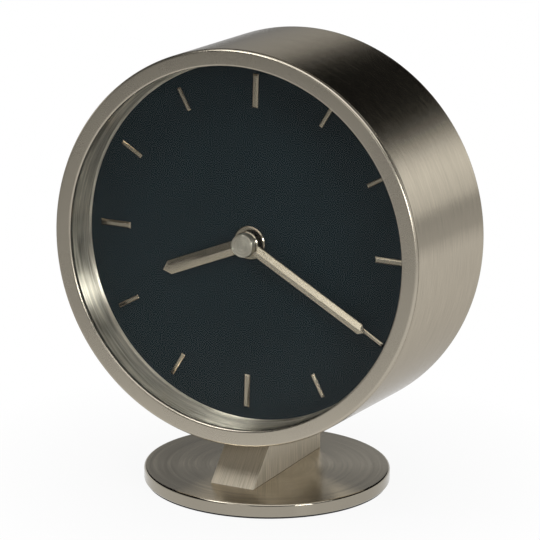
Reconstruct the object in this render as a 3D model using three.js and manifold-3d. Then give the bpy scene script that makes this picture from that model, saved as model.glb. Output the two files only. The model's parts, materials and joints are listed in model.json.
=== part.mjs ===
// Tabletop clock: a round metal case that leans back a little on a wedge stem and a disc foot,
// with two hands over a dark dial and a battery quartz movement behind it.
// Millimetres, +Z up, the dial faces -Y, and the origin is under the middle of the foot.
import * as THREE from "three";
import { ConvexGeometry } from "three/addons/geometries/ConvexGeometry.js";
import { mergeVertices } from "three/addons/utils/BufferGeometryUtils.js";
import Module from "manifold-3d";

const wasm = await Module();
wasm.setup();

// Clearances
const SEAT_GAP = 0.3; // between a piece and the seat that carries it
const SHAFT_GAP = 0.15; // round a shaft in its hole
const TRIM_STOCK = 6; // spare length of a cutting tool, or of stock that is cut away

// Case
const CASE_DIAMETER = 140;
const CASE_DEPTH = 57.7;
const CASE_TILT = 2.6; // degrees that the case leans back
const BAND_WALL = 2;
const EDGE_ROUND = 1; // rounded front and rear edges of the case
const BEZEL_LIP = 1.6;
const BEZEL_INNER_ROUND = 0.5;
const BEZEL_SKIRT_LENGTH = 5;
const BEZEL_SKIRT_WALL = 1.4;
const GASKET_THICKNESS = 0.6;
const LENS_THICKNESS = 2;
const REFLECTOR_WALL = 1.9;
const REFLECTOR_FLANGE = 2;
const DIAL_THICKNESS = 1;
const DIAL_SEAT_WIDTH = 7;
const DIAL_SEAT_THICKNESS = 2;
const LEDGE_WIDTH = 6;
const LEDGE_THICKNESS = 2.5;
const REAR_COVER_THICKNESS = 2;
const REAR_COVER_RECESS = 3;
const WINDOW_WIDTH = 68;
const WINDOW_HEIGHT = 68;
const WINDOW_CORNER = 8;

// Hour markers
const MARKER_COUNT = 12;
const QUARTER_COUNT = 4; // markers that are longer and wider
const MARKER_LENGTH = 9;
const MARKER_WIDTH = 1.6;
const MARKER_HEIGHT = 0.7;
const MARKER_MARGIN = 4.5; // from the reflector to a marker's outer end
const QUARTER_EXTRA_LENGTH = 3;
const QUARTER_EXTRA_WIDTH = 0.8;

// Hands, from the dial forwards
const NUT_ACROSS_FLATS = 8;
const NUT_THICKNESS = 0.8;
const HAND_HUB_THICKNESS = 0.7;
const HAND_SPACING = 1.6;
const HAND_EDGE = 0.25;
const HAND_RIDGE = 0.9;
const HOUR_HUB_DIAMETER = 12;
const HOUR_HAND_WIDTH = 5.2;
const HOUR_TIP_MARGIN = 27.6; // from the reflector to the hand's tip
const HOUR_POINT = 3;
const MINUTE_HUB_DIAMETER = 9;
const MINUTE_HAND_WIDTH = 4.2;
const MINUTE_TIP_MARGIN = 11.3;
const MINUTE_POINT = 2.2;
const CAP_DIAMETER = 8.2;
const CAP_HEIGHT = 2.9;
const CAP_CROWN = 1; // metal in front of the cap's bore
const CAP_ROUND = 0.3;
const CAP_TO_LENS = 3.4;
const REST_HOUR = 8;
const REST_MINUTE = 19.8;
const HOUR_HAND_LAG = 2.4; // degrees, as the hour hand is pressed on its pipe
const HOURS_IN_TURN = 12;
const MINUTES_IN_HOUR = 60;

// Movement
const WASHER_DIAMETER = 16;
const WASHER_THICKNESS = 1;
const HOUSING_WALL = 1.2;
const HOUSING_CORNER = 3;
const MOVEMENT_COVER_THICKNESS = 1.2;
const BUSHING_WALL = 1.25;
const ARBOR_DIAMETER = 1;
const MINUTE_ARBOR_DIAMETER = 2;
const HOUR_PIPE_WALL = 1.05;
const PIVOT_DEPTH = 0.7;
const WHEEL_THICKNESS = 1.2;
const PINION_LENGTH = 1.6;
const LAYER_PITCH = 2.1; // from one layer of wheels to the next
const HOUR_LAYER = 0; // layers of wheels are counted from the dial side
const CANNON_LAYER = 1;
const CENTRE_LAYER = 2;
const THIRD_LAYER = 3;
const SECOND_LAYER = 4;
const INTERMEDIATE_LAYER = 5;
const MOTOR_LAYER = 1;
const END_SHAKE = 0.5;
const CHAMBER_MARGIN = 1.5; // from the wheels to the walls round them
const MOTION_MODULE = 0.5;
const TRAIN_MODULE = 0.35;
const ROTOR_MODULE = 0.28; // the rotor's pinion and the wheel that it turns
const KNOB_DIAMETER = 11;
const KNOB_HEIGHT = 5;
const KNOB_RIDGES = 14;
const KNOB_RIDGE_DEPTH = 0.5;
const KNOB_CLEARANCE = 0.6;

// Teeth and the directions of the wheels, in degrees from +X towards +Z
const CANNON_TEETH = 10;
const TRANSMISSION_TEETH = 30;
const TRANSMISSION_LEAVES = 8;
const HOUR_TEETH = 32;
const KNOB_TEETH = 15;
const TRAIN_LEAVES = 6; // every pinion of the going train
const CENTRE_TEETH = 48;
const THIRD_TEETH = 45;
const SECOND_TEETH = 30;
const INTERMEDIATE_TEETH = 36;
const TRANSMISSION_DIRECTION = 0;
const KNOB_DIRECTION = 50;
const THIRD_DIRECTION = 150;
const SECOND_DIRECTION = 60;
const INTERMEDIATE_DIRECTION = 90;
const ROTOR_DIRECTION = 180;
const TOOTH_ADDENDUM = 0.75; // in modules
const TOOTH_DEDENDUM = 1.1; // in modules
const TOOTH_ROOT_SHARE = 0.52; // of the tooth pitch
const TOOTH_TIP_SHARE = 0.2; // of the tooth pitch

// Stepping motor and electronics
const ROTOR_DIAMETER = 6;
const ROTOR_LENGTH = 4;
const ROTOR_AIR_GAP = 0.4;
const STATOR_WALL = 1.2;
const STATOR_THICKNESS = 1.2;
const STATOR_ARM = 3;
const CORE_WIDTH = 2;
const CORE_THICKNESS = 1.2;
const BOBBIN_WALL = 0.5;
const WINDING_THICKNESS = 1.4;
const POST_DIAMETER = 2.4;
const BOARD_WIDTH = 20;
const BOARD_HEIGHT = 11;
const BOARD_THICKNESS = 1;
const CHIP_SIDE = 5;
const CHIP_HEIGHT = 1;
const CRYSTAL_DIAMETER = 2.2;
const CRYSTAL_LENGTH = 7;
const BATTERY_DIAMETER = 14.2;
const BATTERY_LENGTH = 50.2; // with its button
const BATTERY_BUTTON_DIAMETER = 5.4;
const BATTERY_BUTTON_HEIGHT = 1;
const CONTACT_SPACE = 1.7; // from each end of the battery to the wall
const CONTACT_THICKNESS = 0.4;
const CONTACT_SIDE = 9;
const CONTACT_TONGUE = 3.6;

// Foot and stem
const BASE_DIAMETER = 88;
const BASE_THICKNESS = 4.8;
const BASE_ROUND = 0.6;
const PAD_THICKNESS = 0.6;
const PAD_INSET = 0.8;
const STEM_WIDTH = 17;
const STEM_LENGTH = 54; // along the foot
const STEM_RISE = 15.1; // from the foot to the case, under the middle of the case
const STEM_LEAN = 44; // degrees that the front face leans back
const STEM_OVERHANG = 0.6; // how far the stem stands behind the case

// Screws
const SCREW_DIAMETER = 3;
const SCREW_HEAD_DIAMETER = 5.2;
const SCREW_HEAD_HEIGHT = 1.8;
const SCREW_GRIP = 7; // thread held in the stem
const COUNTERSINK_HEIGHT = 1.6;
const COUNTERSINK_RIM = 0.3;
const REAR_SCREW_COUNT = 3;
const STEM_SCREW_INSET = 10; // from the rear of the stem to the first screw
const STEM_SCREW_SPACING = 14;
const BASE_SCREW_INSET = 12; // from the front of the stem to the first screw
const BASE_SCREW_SPACING = 25;

// Facets
const CASE_SIDES = 64;
const HUB_SIDES = 20;
const SMALL_SIDES = 10;
const HEX_SIDES = 6;
const ROUND_STEPS = 2;

// Radii of the case, from the outside in
const TURN = 2 * Math.PI;
const radians = THREE.MathUtils.degToRad;
const caseRadius = CASE_DIAMETER / 2;
const bandBore = caseRadius - BAND_WALL;
const insertRadius = bandBore - SEAT_GAP;
const skirtBore = insertRadius - BEZEL_SKIRT_WALL;
const lensRadius = skirtBore - SEAT_GAP;
const openRadius = lensRadius - REFLECTOR_WALL; // the dial that shows

// Depths behind the front of the bezel
const bandFront = BEZEL_LIP + SEAT_GAP;
const gasketFront = BEZEL_LIP + SEAT_GAP;
const lensFront = gasketFront + GASKET_THICKNESS + SEAT_GAP;
const lensRear = lensFront + LENS_THICKNESS;
const capFront = lensRear + CAP_TO_LENS;
const capRear = capFront + CAP_HEIGHT;
const minuteFront = capRear + SEAT_GAP;
const minuteRear = minuteFront + HAND_HUB_THICKNESS;
const hourFront = minuteRear + HAND_SPACING;
const hourRear = hourFront + HAND_HUB_THICKNESS;
const nutFront = hourRear + SEAT_GAP;
const nutRear = nutFront + NUT_THICKNESS;
const dialFront = nutRear + SEAT_GAP;
const dialRear = dialFront + DIAL_THICKNESS;
const dialSeatFront = dialRear + SEAT_GAP;
const washerFront = dialRear + SEAT_GAP;
const housingFront = washerFront + WASHER_THICKNESS + SEAT_GAP;
const chamberFront = housingFront + HOUSING_WALL;
const layerFront = (layer) => chamberFront + END_SHAKE + layer * LAYER_PITCH;
const chamberRear = layerFront(INTERMEDIATE_LAYER) + WHEEL_THICKNESS + END_SHAKE;
const movementCoverFront = chamberRear + SEAT_GAP;
const movementCoverRear = movementCoverFront + MOVEMENT_COVER_THICKNESS;
const pivotFront = chamberFront - PIVOT_DEPTH;
const pivotRear = movementCoverFront + PIVOT_DEPTH;
const rearCoverRear = CASE_DEPTH - REAR_COVER_RECESS;
const rearCoverFront = rearCoverRear - REAR_COVER_THICKNESS;
const ledgeRear = rearCoverFront - SEAT_GAP;

// Radii round the hand axis, from the inside out
const arborRadius = ARBOR_DIAMETER / 2;
const minuteArborRadius = MINUTE_ARBOR_DIAMETER / 2;
const hourPipeBore = minuteArborRadius + SHAFT_GAP;
const hourPipeRadius = hourPipeBore + HOUR_PIPE_WALL;
const bushingBore = hourPipeRadius + SHAFT_GAP;
const bushingRadius = bushingBore + BUSHING_WALL;

// The case stands on the stem, and its middle is over the middle of the foot
const tilt = radians(CASE_TILT);
const baseTop = PAD_THICKNESS + BASE_THICKNESS;
const caseMiddleHeight = baseTop + STEM_RISE + caseRadius / Math.cos(tilt);
const head = new THREE.Group();
head.position.y = (-CASE_DEPTH / 2) * Math.cos(tilt);
head.position.z = caseMiddleHeight + (CASE_DEPTH / 2) * Math.sin(tilt);
head.rotation.x = -tilt;
head.updateMatrixWorld();
const caseRearBottom = new THREE.Vector3(0, CASE_DEPTH, -caseRadius).applyMatrix4(head.matrixWorld);
const stemRear = caseRearBottom.y + STEM_OVERHANG;
const stemFront = stemRear - STEM_LENGTH;

// Finishes, as colour, roughness and metalness
const FINISHES = {
  nickel: [0xb0a593, 0.34, 1],
  brushed: [0x8f897c, 0.42, 1],
  dial: [0x1f2628, 0.38, 0],
  glass: [0xe8f0f0, 0.03, 0],
  rubber: [0x17181a, 0.8, 0],
  blackPlastic: [0x1c1d1f, 0.55, 0],
  whitePlastic: [0xd9d6cc, 0.5, 0],
  brass: [0xb08d47, 0.35, 1],
  steel: [0x8c8e90, 0.35, 1],
  copper: [0xa5562c, 0.35, 1],
  board: [0x2c5a3a, 0.5, 0],
  cell: [0x2f4a63, 0.4, 0.2],
};

function addPiece(group, name, geometry, finish) {
  const [color, roughness, metalness] = FINISHES[finish];
  const mesh = new THREE.Mesh(geometry, new THREE.MeshStandardMaterial({ color, roughness, metalness }));
  mesh.name = name;
  group.add(mesh);
}

// Joining and cutting

function toSolid(geometry) {
  const bare = geometry.clone();
  bare.deleteAttribute("normal");
  bare.deleteAttribute("uv");
  const merged = mergeVertices(bare);
  const corners = merged.index.array;
  const kept = [];
  for (let i = 0; i < corners.length; i += 3) {
    const [a, b, c] = corners.subarray(i, i + 3);
    if (a !== b && b !== c && c !== a) kept.push(a, b, c);
  }
  const vertProperties = merged.attributes.position.array;
  const triVerts = new Uint32Array(kept);
  return new wasm.Manifold(new wasm.Mesh({ numProp: 3, vertProperties, triVerts }));
}

function toGeometry(solid) {
  const mesh = solid.getMesh();
  const geometry = new THREE.BufferGeometry();
  geometry.setAttribute("position", new THREE.BufferAttribute(mesh.vertProperties, 3));
  geometry.setIndex(new THREE.BufferAttribute(mesh.triVerts, 1));
  geometry.computeVertexNormals();
  return geometry;
}

function join(first, ...others) {
  return toGeometry(others.reduce((solid, other) => solid.add(toSolid(other)), toSolid(first)));
}

function cut(stock, ...tools) {
  return toGeometry(tools.reduce((solid, tool) => solid.subtract(toSolid(tool)), toSolid(stock)));
}

// Basic shapes, in the case's frame: x to the right, y behind the bezel's front, z up

// A solid of revolution about y, from [radius, y] points that start and end on the axis
function turned(section, sides) {
  return new THREE.LatheGeometry(section.map(([r, y]) => new THREE.Vector2(r, y)), sides);
}

// A ring of revolution about y, from the corners of its section
function turnedRing(section, sides) {
  return turned([...section, section[0]], sides);
}

function tube(bore, radius, front, rear, sides) {
  return turnedRing([[bore, front], [radius, front], [radius, rear], [bore, rear]], sides);
}

// A rod along y through [x, z]
function rod([x, z], radius, front, rear, sides = SMALL_SIDES) {
  const geometry = new THREE.CylinderGeometry(radius, radius, rear - front, sides);
  return geometry.translate(x, (front + rear) / 2, z);
}

function block(xRange, yRange, zRange) {
  const [width, depth, height] = [xRange, yRange, zRange].map(([low, high]) => high - low);
  const [x, y, z] = [xRange, yRange, zRange].map(([low, high]) => (low + high) / 2);
  return new THREE.BoxGeometry(width, depth, height).translate(x, y, z);
}

// An outline in x and z, given thickness rearwards
function plate(outline, front, thickness) {
  const options = { depth: thickness, bevelEnabled: false, curveSegments: ROUND_STEPS };
  const geometry = new THREE.ExtrudeGeometry(outline, options);
  geometry.rotateX(Math.PI / 2);
  return geometry.translate(0, front + thickness, 0);
}

// Points of a quarter round between two directions, in degrees
function quarterRound(centreR, centreY, radius, from, to) {
  const points = [];
  for (let step = 0; step <= ROUND_STEPS; step += 1) {
    const angle = radians(from + ((to - from) * step) / ROUND_STEPS);
    points.push([centreR + radius * Math.cos(angle), centreY + radius * Math.sin(angle)]);
  }
  return points;
}

function roundedRectangle(xRange, zRange, corner) {
  const [left, right] = xRange;
  const [bottom, top] = zRange;
  const outline = new THREE.Shape();
  outline.absarc(right - corner, bottom + corner, corner, -Math.PI / 2, 0);
  outline.absarc(right - corner, top - corner, corner, 0, Math.PI / 2);
  outline.absarc(left + corner, top - corner, corner, Math.PI / 2, Math.PI);
  outline.absarc(left + corner, bottom + corner, corner, Math.PI, (3 * Math.PI) / 2);
  return outline;
}

// Gears

const pitchRadius = (teeth, module) => (teeth * module) / 2;
const tipRadius = (teeth, module) => pitchRadius(teeth, module) + TOOTH_ADDENDUM * module;

// Where a wheel's centre goes so that it meshes with the one at `from`
function meshCentre([x, z], teethA, teethB, module, direction) {
  const distance = pitchRadius(teethA + teethB, module);
  const angle = radians(direction);
  return [x + distance * Math.cos(angle), z + distance * Math.sin(angle)];
}

// The angle of a tooth on wheel B that puts B's gap against A's tooth
function meshPhase(phaseA, teethA, teethB, direction) {
  const toB = radians(direction);
  const share = ((toB - phaseA) * teethA) / TURN;
  return toB + Math.PI - ((0.5 - share) * TURN) / teethB;
}

function gear([x, z], teeth, module, phase, front, thickness) {
  const root = pitchRadius(teeth, module) - TOOTH_DEDENDUM * module;
  const tip = tipRadius(teeth, module);
  const pitchAngle = TURN / teeth;
  const points = [];
  for (let tooth = 0; tooth < teeth; tooth += 1) {
    const middle = phase + tooth * pitchAngle;
    const corners = [
      [root, -TOOTH_ROOT_SHARE],
      [tip, -TOOTH_TIP_SHARE],
      [tip, TOOTH_TIP_SHARE],
      [root, TOOTH_ROOT_SHARE],
    ];
    for (const [radius, share] of corners) {
      const angle = middle + (share * pitchAngle) / 2;
      points.push(new THREE.Vector2(radius * Math.cos(angle), radius * Math.sin(angle)));
    }
  }
  return plate(new THREE.Shape(points), front, thickness).translate(x, 0, z);
}

const wheelIn = (layer, centre, teeth, module, phase) =>
  gear(centre, teeth, module, phase, layerFront(layer), WHEEL_THICKNESS);

function pinionIn(layer, centre, teeth, module, phase) {
  const front = layerFront(layer) - (PINION_LENGTH - WHEEL_THICKNESS) / 2;
  return gear(centre, teeth, module, phase, front, PINION_LENGTH);
}

// Centres and tooth phases of the wheels, from the hand axis outwards
const axis = [0, 0];
const transmissionCentre =
  meshCentre(axis, CANNON_TEETH, TRANSMISSION_TEETH, MOTION_MODULE, TRANSMISSION_DIRECTION);
const knobCentre =
  meshCentre(transmissionCentre, TRANSMISSION_TEETH, KNOB_TEETH, MOTION_MODULE, KNOB_DIRECTION);
const thirdCentre = meshCentre(axis, CENTRE_TEETH, TRAIN_LEAVES, TRAIN_MODULE, THIRD_DIRECTION);
const secondCentre = meshCentre(thirdCentre, THIRD_TEETH, TRAIN_LEAVES, TRAIN_MODULE, SECOND_DIRECTION);
const intermediateCentre =
  meshCentre(secondCentre, SECOND_TEETH, TRAIN_LEAVES, TRAIN_MODULE, INTERMEDIATE_DIRECTION);
const rotorCentre =
  meshCentre(intermediateCentre, INTERMEDIATE_TEETH, TRAIN_LEAVES, ROTOR_MODULE, ROTOR_DIRECTION);
const transmissionPhase = meshPhase(0, CANNON_TEETH, TRANSMISSION_TEETH, TRANSMISSION_DIRECTION);
const knobPhase = meshPhase(transmissionPhase, TRANSMISSION_TEETH, KNOB_TEETH, KNOB_DIRECTION);
const hourPhase = meshPhase(0, TRANSMISSION_LEAVES, HOUR_TEETH, TRANSMISSION_DIRECTION + 180);
const thirdPhase = meshPhase(0, CENTRE_TEETH, TRAIN_LEAVES, THIRD_DIRECTION);
const secondPhase = meshPhase(0, THIRD_TEETH, TRAIN_LEAVES, SECOND_DIRECTION);
const intermediatePhase = meshPhase(0, SECOND_TEETH, TRAIN_LEAVES, INTERMEDIATE_DIRECTION);
const rotorPhase = meshPhase(0, INTERMEDIATE_TEETH, TRAIN_LEAVES, ROTOR_DIRECTION);

// The housing is as wide as the battery needs and as high as the wheels and the battery need
const batteryRadius = BATTERY_DIAMETER / 2;
const chamberHalf = BATTERY_LENGTH / 2 + CONTACT_SPACE;
const housingHalf = chamberHalf + HOUSING_WALL;
const chamberBottom = -tipRadius(HOUR_TEETH, MOTION_MODULE) - CHAMBER_MARGIN;
const chamberTop = intermediateCentre[1] + tipRadius(INTERMEDIATE_TEETH, ROTOR_MODULE) + CHAMBER_MARGIN;
const housingTop = chamberTop + HOUSING_WALL;
const bayTop = chamberBottom - HOUSING_WALL;
const bayBottom = bayTop - BATTERY_DIAMETER - 2 * SEAT_GAP;
const housingBottom = bayBottom - HOUSING_WALL;
const batteryHeight = (bayTop + bayBottom) / 2;
const batteryDepth = chamberFront + SEAT_GAP + batteryRadius;

// The motor lies in the front layers, with its coil against the left wall
const statorFront = layerFront(MOTOR_LAYER);
const statorRear = statorFront + STATOR_THICKNESS;
const coreFront = statorRear + SEAT_GAP;
const coreMiddle = coreFront + CORE_THICKNESS / 2;
const bobbinBore = Math.hypot(CORE_WIDTH, CORE_THICKNESS) / 2 + SEAT_GAP;
const bobbinRadius = bobbinBore + BOBBIN_WALL;
const windingBore = bobbinRadius + SHAFT_GAP;
const coilRadius = windingBore + WINDING_THICKNESS;
const coilX = -chamberHalf + SEAT_GAP + coilRadius;
const boardRight = chamberHalf - SEAT_GAP;
const boardLeft = boardRight - BOARD_WIDTH;
const boardTop = chamberTop - SEAT_GAP;
const boardBottom = boardTop - BOARD_HEIGHT;
const boardFront = layerFront(MOTOR_LAYER);
const boardRear = boardFront + BOARD_THICKNESS;
const boardMiddle = (boardLeft + boardRight) / 2;
const armHalf = STATOR_ARM / 2;
const statorReach = chamberTop - SEAT_GAP - armHalf - rotorCentre[1]; // from the rotor to an arm's middle
const statorPosts = [-1, 1].map((side) => [rotorCentre[0], rotorCentre[1] + side * statorReach]);
const boardPosts = [-1, 1].map((side) => [boardMiddle + (side * CHIP_SIDE) / 2, boardTop - POST_DIAMETER]);

// Case pieces

function bezel() {
  return turnedRing([
    ...quarterRound(openRadius + BEZEL_INNER_ROUND, BEZEL_INNER_ROUND, BEZEL_INNER_ROUND, 180, 270),
    ...quarterRound(caseRadius - EDGE_ROUND, EDGE_ROUND, EDGE_ROUND, 270, 360),
    [caseRadius, BEZEL_LIP],
    [insertRadius, BEZEL_LIP],
    [insertRadius, BEZEL_LIP + BEZEL_SKIRT_LENGTH],
    [skirtBore, BEZEL_LIP + BEZEL_SKIRT_LENGTH],
    [skirtBore, BEZEL_LIP],
    [openRadius, BEZEL_LIP],
  ], CASE_SIDES);
}

function lensGasket() {
  return tube(openRadius + SEAT_GAP, lensRadius, gasketFront, gasketFront + GASKET_THICKNESS, CASE_SIDES);
}

function lens() {
  return turned([[0, lensFront], [lensRadius, lensFront], [lensRadius, lensRear], [0, lensRear]], CASE_SIDES);
}

function reflectorRing() {
  const front = lensRear + SEAT_GAP;
  const rear = dialFront - SEAT_GAP;
  return turnedRing([
    [openRadius, front],
    [lensRadius, front],
    [lensRadius, rear - REFLECTOR_FLANGE],
    [insertRadius, rear - REFLECTOR_FLANGE],
    [insertRadius, rear],
    [openRadius, rear],
  ], CASE_SIDES);
}

function caseBand() {
  const stock = turnedRing([
    [bandBore, bandFront],
    [caseRadius, bandFront],
    ...quarterRound(caseRadius - EDGE_ROUND, CASE_DEPTH - EDGE_ROUND, EDGE_ROUND, 0, 90),
    [bandBore, CASE_DEPTH],
  ], CASE_SIDES);
  return cut(stock, ...stemScrewHoles());
}

// The ring pressed into the band that the dial lies on
function dialSeat() {
  const rear = dialSeatFront + DIAL_SEAT_THICKNESS;
  return tube(insertRadius - DIAL_SEAT_WIDTH, insertRadius, dialSeatFront, rear, CASE_SIDES);
}

// The ring pressed into the band that the rear cover is screwed to
function coverLedge() {
  const front = ledgeRear - LEDGE_THICKNESS;
  const ring = tube(insertRadius - LEDGE_WIDTH, insertRadius, front, ledgeRear, CASE_SIDES);
  return cut(ring, ...rearScrewHoles());
}

const rearScrewPlaces = Array.from({ length: REAR_SCREW_COUNT }, (_, index) => {
  const angle = Math.PI / 2 + (index * TURN) / REAR_SCREW_COUNT;
  const radius = insertRadius - LEDGE_WIDTH / 2;
  return [radius * Math.cos(angle), radius * Math.sin(angle)];
});

const screwHoleRadius = SCREW_DIAMETER / 2 + SHAFT_GAP;

function rearScrewHoles() {
  const front = ledgeRear - LEDGE_THICKNESS - TRIM_STOCK;
  return rearScrewPlaces.map((place) => rod(place, screwHoleRadius, front, ledgeRear + TRIM_STOCK));
}

function rearCover() {
  const window = roundedRectangle(
    [-WINDOW_WIDTH / 2, WINDOW_WIDTH / 2], [-WINDOW_HEIGHT / 2, WINDOW_HEIGHT / 2], WINDOW_CORNER);
  const disc = rod(axis, insertRadius, rearCoverFront, rearCoverRear, CASE_SIDES);
  const opening = plate(window, rearCoverFront - TRIM_STOCK, REAR_COVER_THICKNESS + 2 * TRIM_STOCK);
  return cut(disc, opening, ...rearScrewHoles());
}

// A pan-head screw along y, head at the rear, its head's underside at y = 0
function panScrew(length) {
  const shank = SCREW_DIAMETER / 2;
  const headRadius = SCREW_HEAD_DIAMETER / 2;
  return turned([
    [0, -length],
    [shank, -length],
    [shank, 0],
    [headRadius, 0],
    [headRadius, SCREW_HEAD_HEIGHT / 2],
    [shank, SCREW_HEAD_HEIGHT],
    [0, SCREW_HEAD_HEIGHT],
  ], SMALL_SIDES);
}

function rearScrew([x, z]) {
  const length = REAR_COVER_THICKNESS + LEDGE_THICKNESS + 2 * SEAT_GAP;
  return panScrew(length).translate(x, rearCoverRear + SEAT_GAP, z);
}

// The case is held by screws from inside the band, down into the stem
const stemScrewDepths = [STEM_SCREW_INSET, STEM_SCREW_INSET + STEM_SCREW_SPACING].map(
  (inset) => (stemRear - inset - head.position.y) / Math.cos(tilt));

function downwards(geometry, depth) {
  geometry.rotateX(Math.PI / 2);
  return geometry.translate(0, depth, -bandBore);
}

function stemScrew(depth) {
  const length = BAND_WALL + 2 * SEAT_GAP + SCREW_GRIP;
  return downwards(panScrew(length), depth).translate(0, 0, SEAT_GAP);
}

function stemScrewHoles() {
  const length = BAND_WALL + SCREW_GRIP + 2 * SEAT_GAP + SHAFT_GAP;
  return stemScrewDepths.map((depth) => downwards(rod(axis, screwHoleRadius, -length, TRIM_STOCK), depth));
}

function hourMarker(index) {
  const quarter = index % (MARKER_COUNT / QUARTER_COUNT) === 0;
  const length = MARKER_LENGTH + (quarter ? QUARTER_EXTRA_LENGTH : 0);
  const half = (MARKER_WIDTH + (quarter ? QUARTER_EXTRA_WIDTH : 0)) / 2;
  const outer = openRadius - MARKER_MARGIN;
  const rear = dialFront - SEAT_GAP;
  const marker = block([-half, half], [rear - MARKER_HEIGHT, rear], [outer - length, outer]);
  return marker.rotateY((index * TURN) / MARKER_COUNT);
}

// Hands

// A pointed blade with a ridge along its middle, pointing up from the hand axis
function blade(rear, width, length, point) {
  const half = width / 2;
  const outline = [[-half, 0], [half, 0], [half, length - point], [0, length], [-half, length - point]];
  const corners = [rear, rear - HAND_EDGE].flatMap(
    (y) => outline.map(([x, z]) => new THREE.Vector3(x, y, z)));
  const ridge = [0, length - point].map((z) => new THREE.Vector3(0, rear - HAND_RIDGE, z));
  return new ConvexGeometry([...corners, ...ridge]);
}

function hand(front, rear, hubDiameter, width, length, point, bore, clockwise) {
  const hub = rod(axis, hubDiameter / 2, front, rear, HUB_SIDES);
  const hole = rod(axis, bore, front - TRIM_STOCK, rear + TRIM_STOCK, HUB_SIDES);
  return cut(join(hub, blade(rear, width, length, point)), hole).rotateY(clockwise);
}

const minuteAngle = (REST_MINUTE * TURN) / MINUTES_IN_HOUR;
const hourShown = REST_HOUR + REST_MINUTE / MINUTES_IN_HOUR;
const hourAngle = (hourShown * TURN) / HOURS_IN_TURN - radians(HOUR_HAND_LAG);

const hourHand = () => hand(
  hourFront, hourRear, HOUR_HUB_DIAMETER, HOUR_HAND_WIDTH, openRadius - HOUR_TIP_MARGIN,
  HOUR_POINT, hourPipeRadius + SHAFT_GAP, hourAngle);

const minuteHand = () => hand(
  minuteFront, minuteRear, MINUTE_HUB_DIAMETER, MINUTE_HAND_WIDTH, openRadius - MINUTE_TIP_MARGIN,
  MINUTE_POINT, minuteArborRadius + SHAFT_GAP, minuteAngle);

function handCap() {
  const radius = CAP_DIAMETER / 2;
  const bore = minuteArborRadius + SHAFT_GAP;
  return turned([
    [0, capFront],
    ...quarterRound(radius - CAP_ROUND, capFront + CAP_ROUND, CAP_ROUND, 270, 360),
    [radius, capRear],
    [bore, capRear],
    [bore, capFront + CAP_CROWN],
    [0, capFront + CAP_CROWN],
  ], HUB_SIDES);
}

function fixingNut() {
  const corner = NUT_ACROSS_FLATS / 2 / Math.cos(Math.PI / HEX_SIDES);
  const hole = rod(axis, bushingRadius + SHAFT_GAP, nutFront - TRIM_STOCK, nutRear + TRIM_STOCK, HUB_SIDES);
  return cut(rod(axis, corner, nutFront, nutRear, HEX_SIDES), hole);
}

// Movement

function dialWasher() {
  const rear = washerFront + WASHER_THICKNESS;
  return tube(bushingRadius + SEAT_GAP, WASHER_DIAMETER / 2, washerFront, rear, HUB_SIDES);
}

function movementHousing() {
  const outline = roundedRectangle([-housingHalf, housingHalf], [housingBottom, housingTop], HOUSING_CORNER);
  const stock = plate(outline, housingFront, chamberRear - housingFront);
  const inside = [chamberFront, chamberRear + TRIM_STOCK];
  const chamber = block([-chamberHalf, chamberHalf], inside, [chamberBottom, chamberTop]);
  const bay = block([-chamberHalf, chamberHalf], inside, [bayBottom, bayTop]);
  const tray = cut(stock, chamber, bay);
  const bushing = rod(axis, bushingRadius, nutFront, chamberFront, HUB_SIDES);
  const posts = [...statorPosts, ...boardPosts].map((place) =>
    rod(place, POST_DIAMETER / 2, housingFront, statorFront - SEAT_GAP));
  const bore = rod(axis, bushingBore, nutFront - TRIM_STOCK, chamberFront + TRIM_STOCK, HUB_SIDES);
  const pivots = pivotHoles(pivotFront - SHAFT_GAP, chamberFront + SHAFT_GAP);
  return cut(join(tray, bushing, ...posts), bore, ...pivots);
}

const smallArbors =
  [transmissionCentre, knobCentre, thirdCentre, secondCentre, intermediateCentre, rotorCentre];

function pivotHoles(front, rear) {
  return smallArbors.map((centre) => rod(centre, arborRadius + SHAFT_GAP, front, rear));
}

function movementCover() {
  const front = movementCoverFront - TRIM_STOCK;
  const rear = movementCoverRear + TRIM_STOCK;
  const outline = roundedRectangle([-housingHalf, housingHalf], [bayTop, housingTop], HOUSING_CORNER);
  const minuteHole = rod(axis, minuteArborRadius + SHAFT_GAP, front, rear);
  const lid = plate(outline, movementCoverFront, MOVEMENT_COVER_THICKNESS);
  return cut(lid, minuteHole, ...pivotHoles(front, rear));
}

const arbor = (centre) => rod(centre, arborRadius, pivotFront, pivotRear);

function minuteArbor() {
  const shaft = rod(axis, minuteArborRadius, capFront + CAP_CROWN + SEAT_GAP, pivotRear);
  return join(shaft, wheelIn(CANNON_LAYER, axis, CANNON_TEETH, MOTION_MODULE, 0));
}

function hourWheel() {
  const front = layerFront(HOUR_LAYER);
  const pipe = rod(axis, hourPipeRadius, hourFront, front + WHEEL_THICKNESS, HUB_SIDES);
  const bore = rod(axis, hourPipeBore, hourFront - TRIM_STOCK, front + TRIM_STOCK);
  return cut(join(wheelIn(HOUR_LAYER, axis, HOUR_TEETH, MOTION_MODULE, hourPhase), pipe), bore);
}

const transmissionWheel = () => join(
  arbor(transmissionCentre),
  pinionIn(HOUR_LAYER, transmissionCentre, TRANSMISSION_LEAVES, MOTION_MODULE, 0),
  wheelIn(CANNON_LAYER, transmissionCentre, TRANSMISSION_TEETH, MOTION_MODULE, transmissionPhase));

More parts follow.
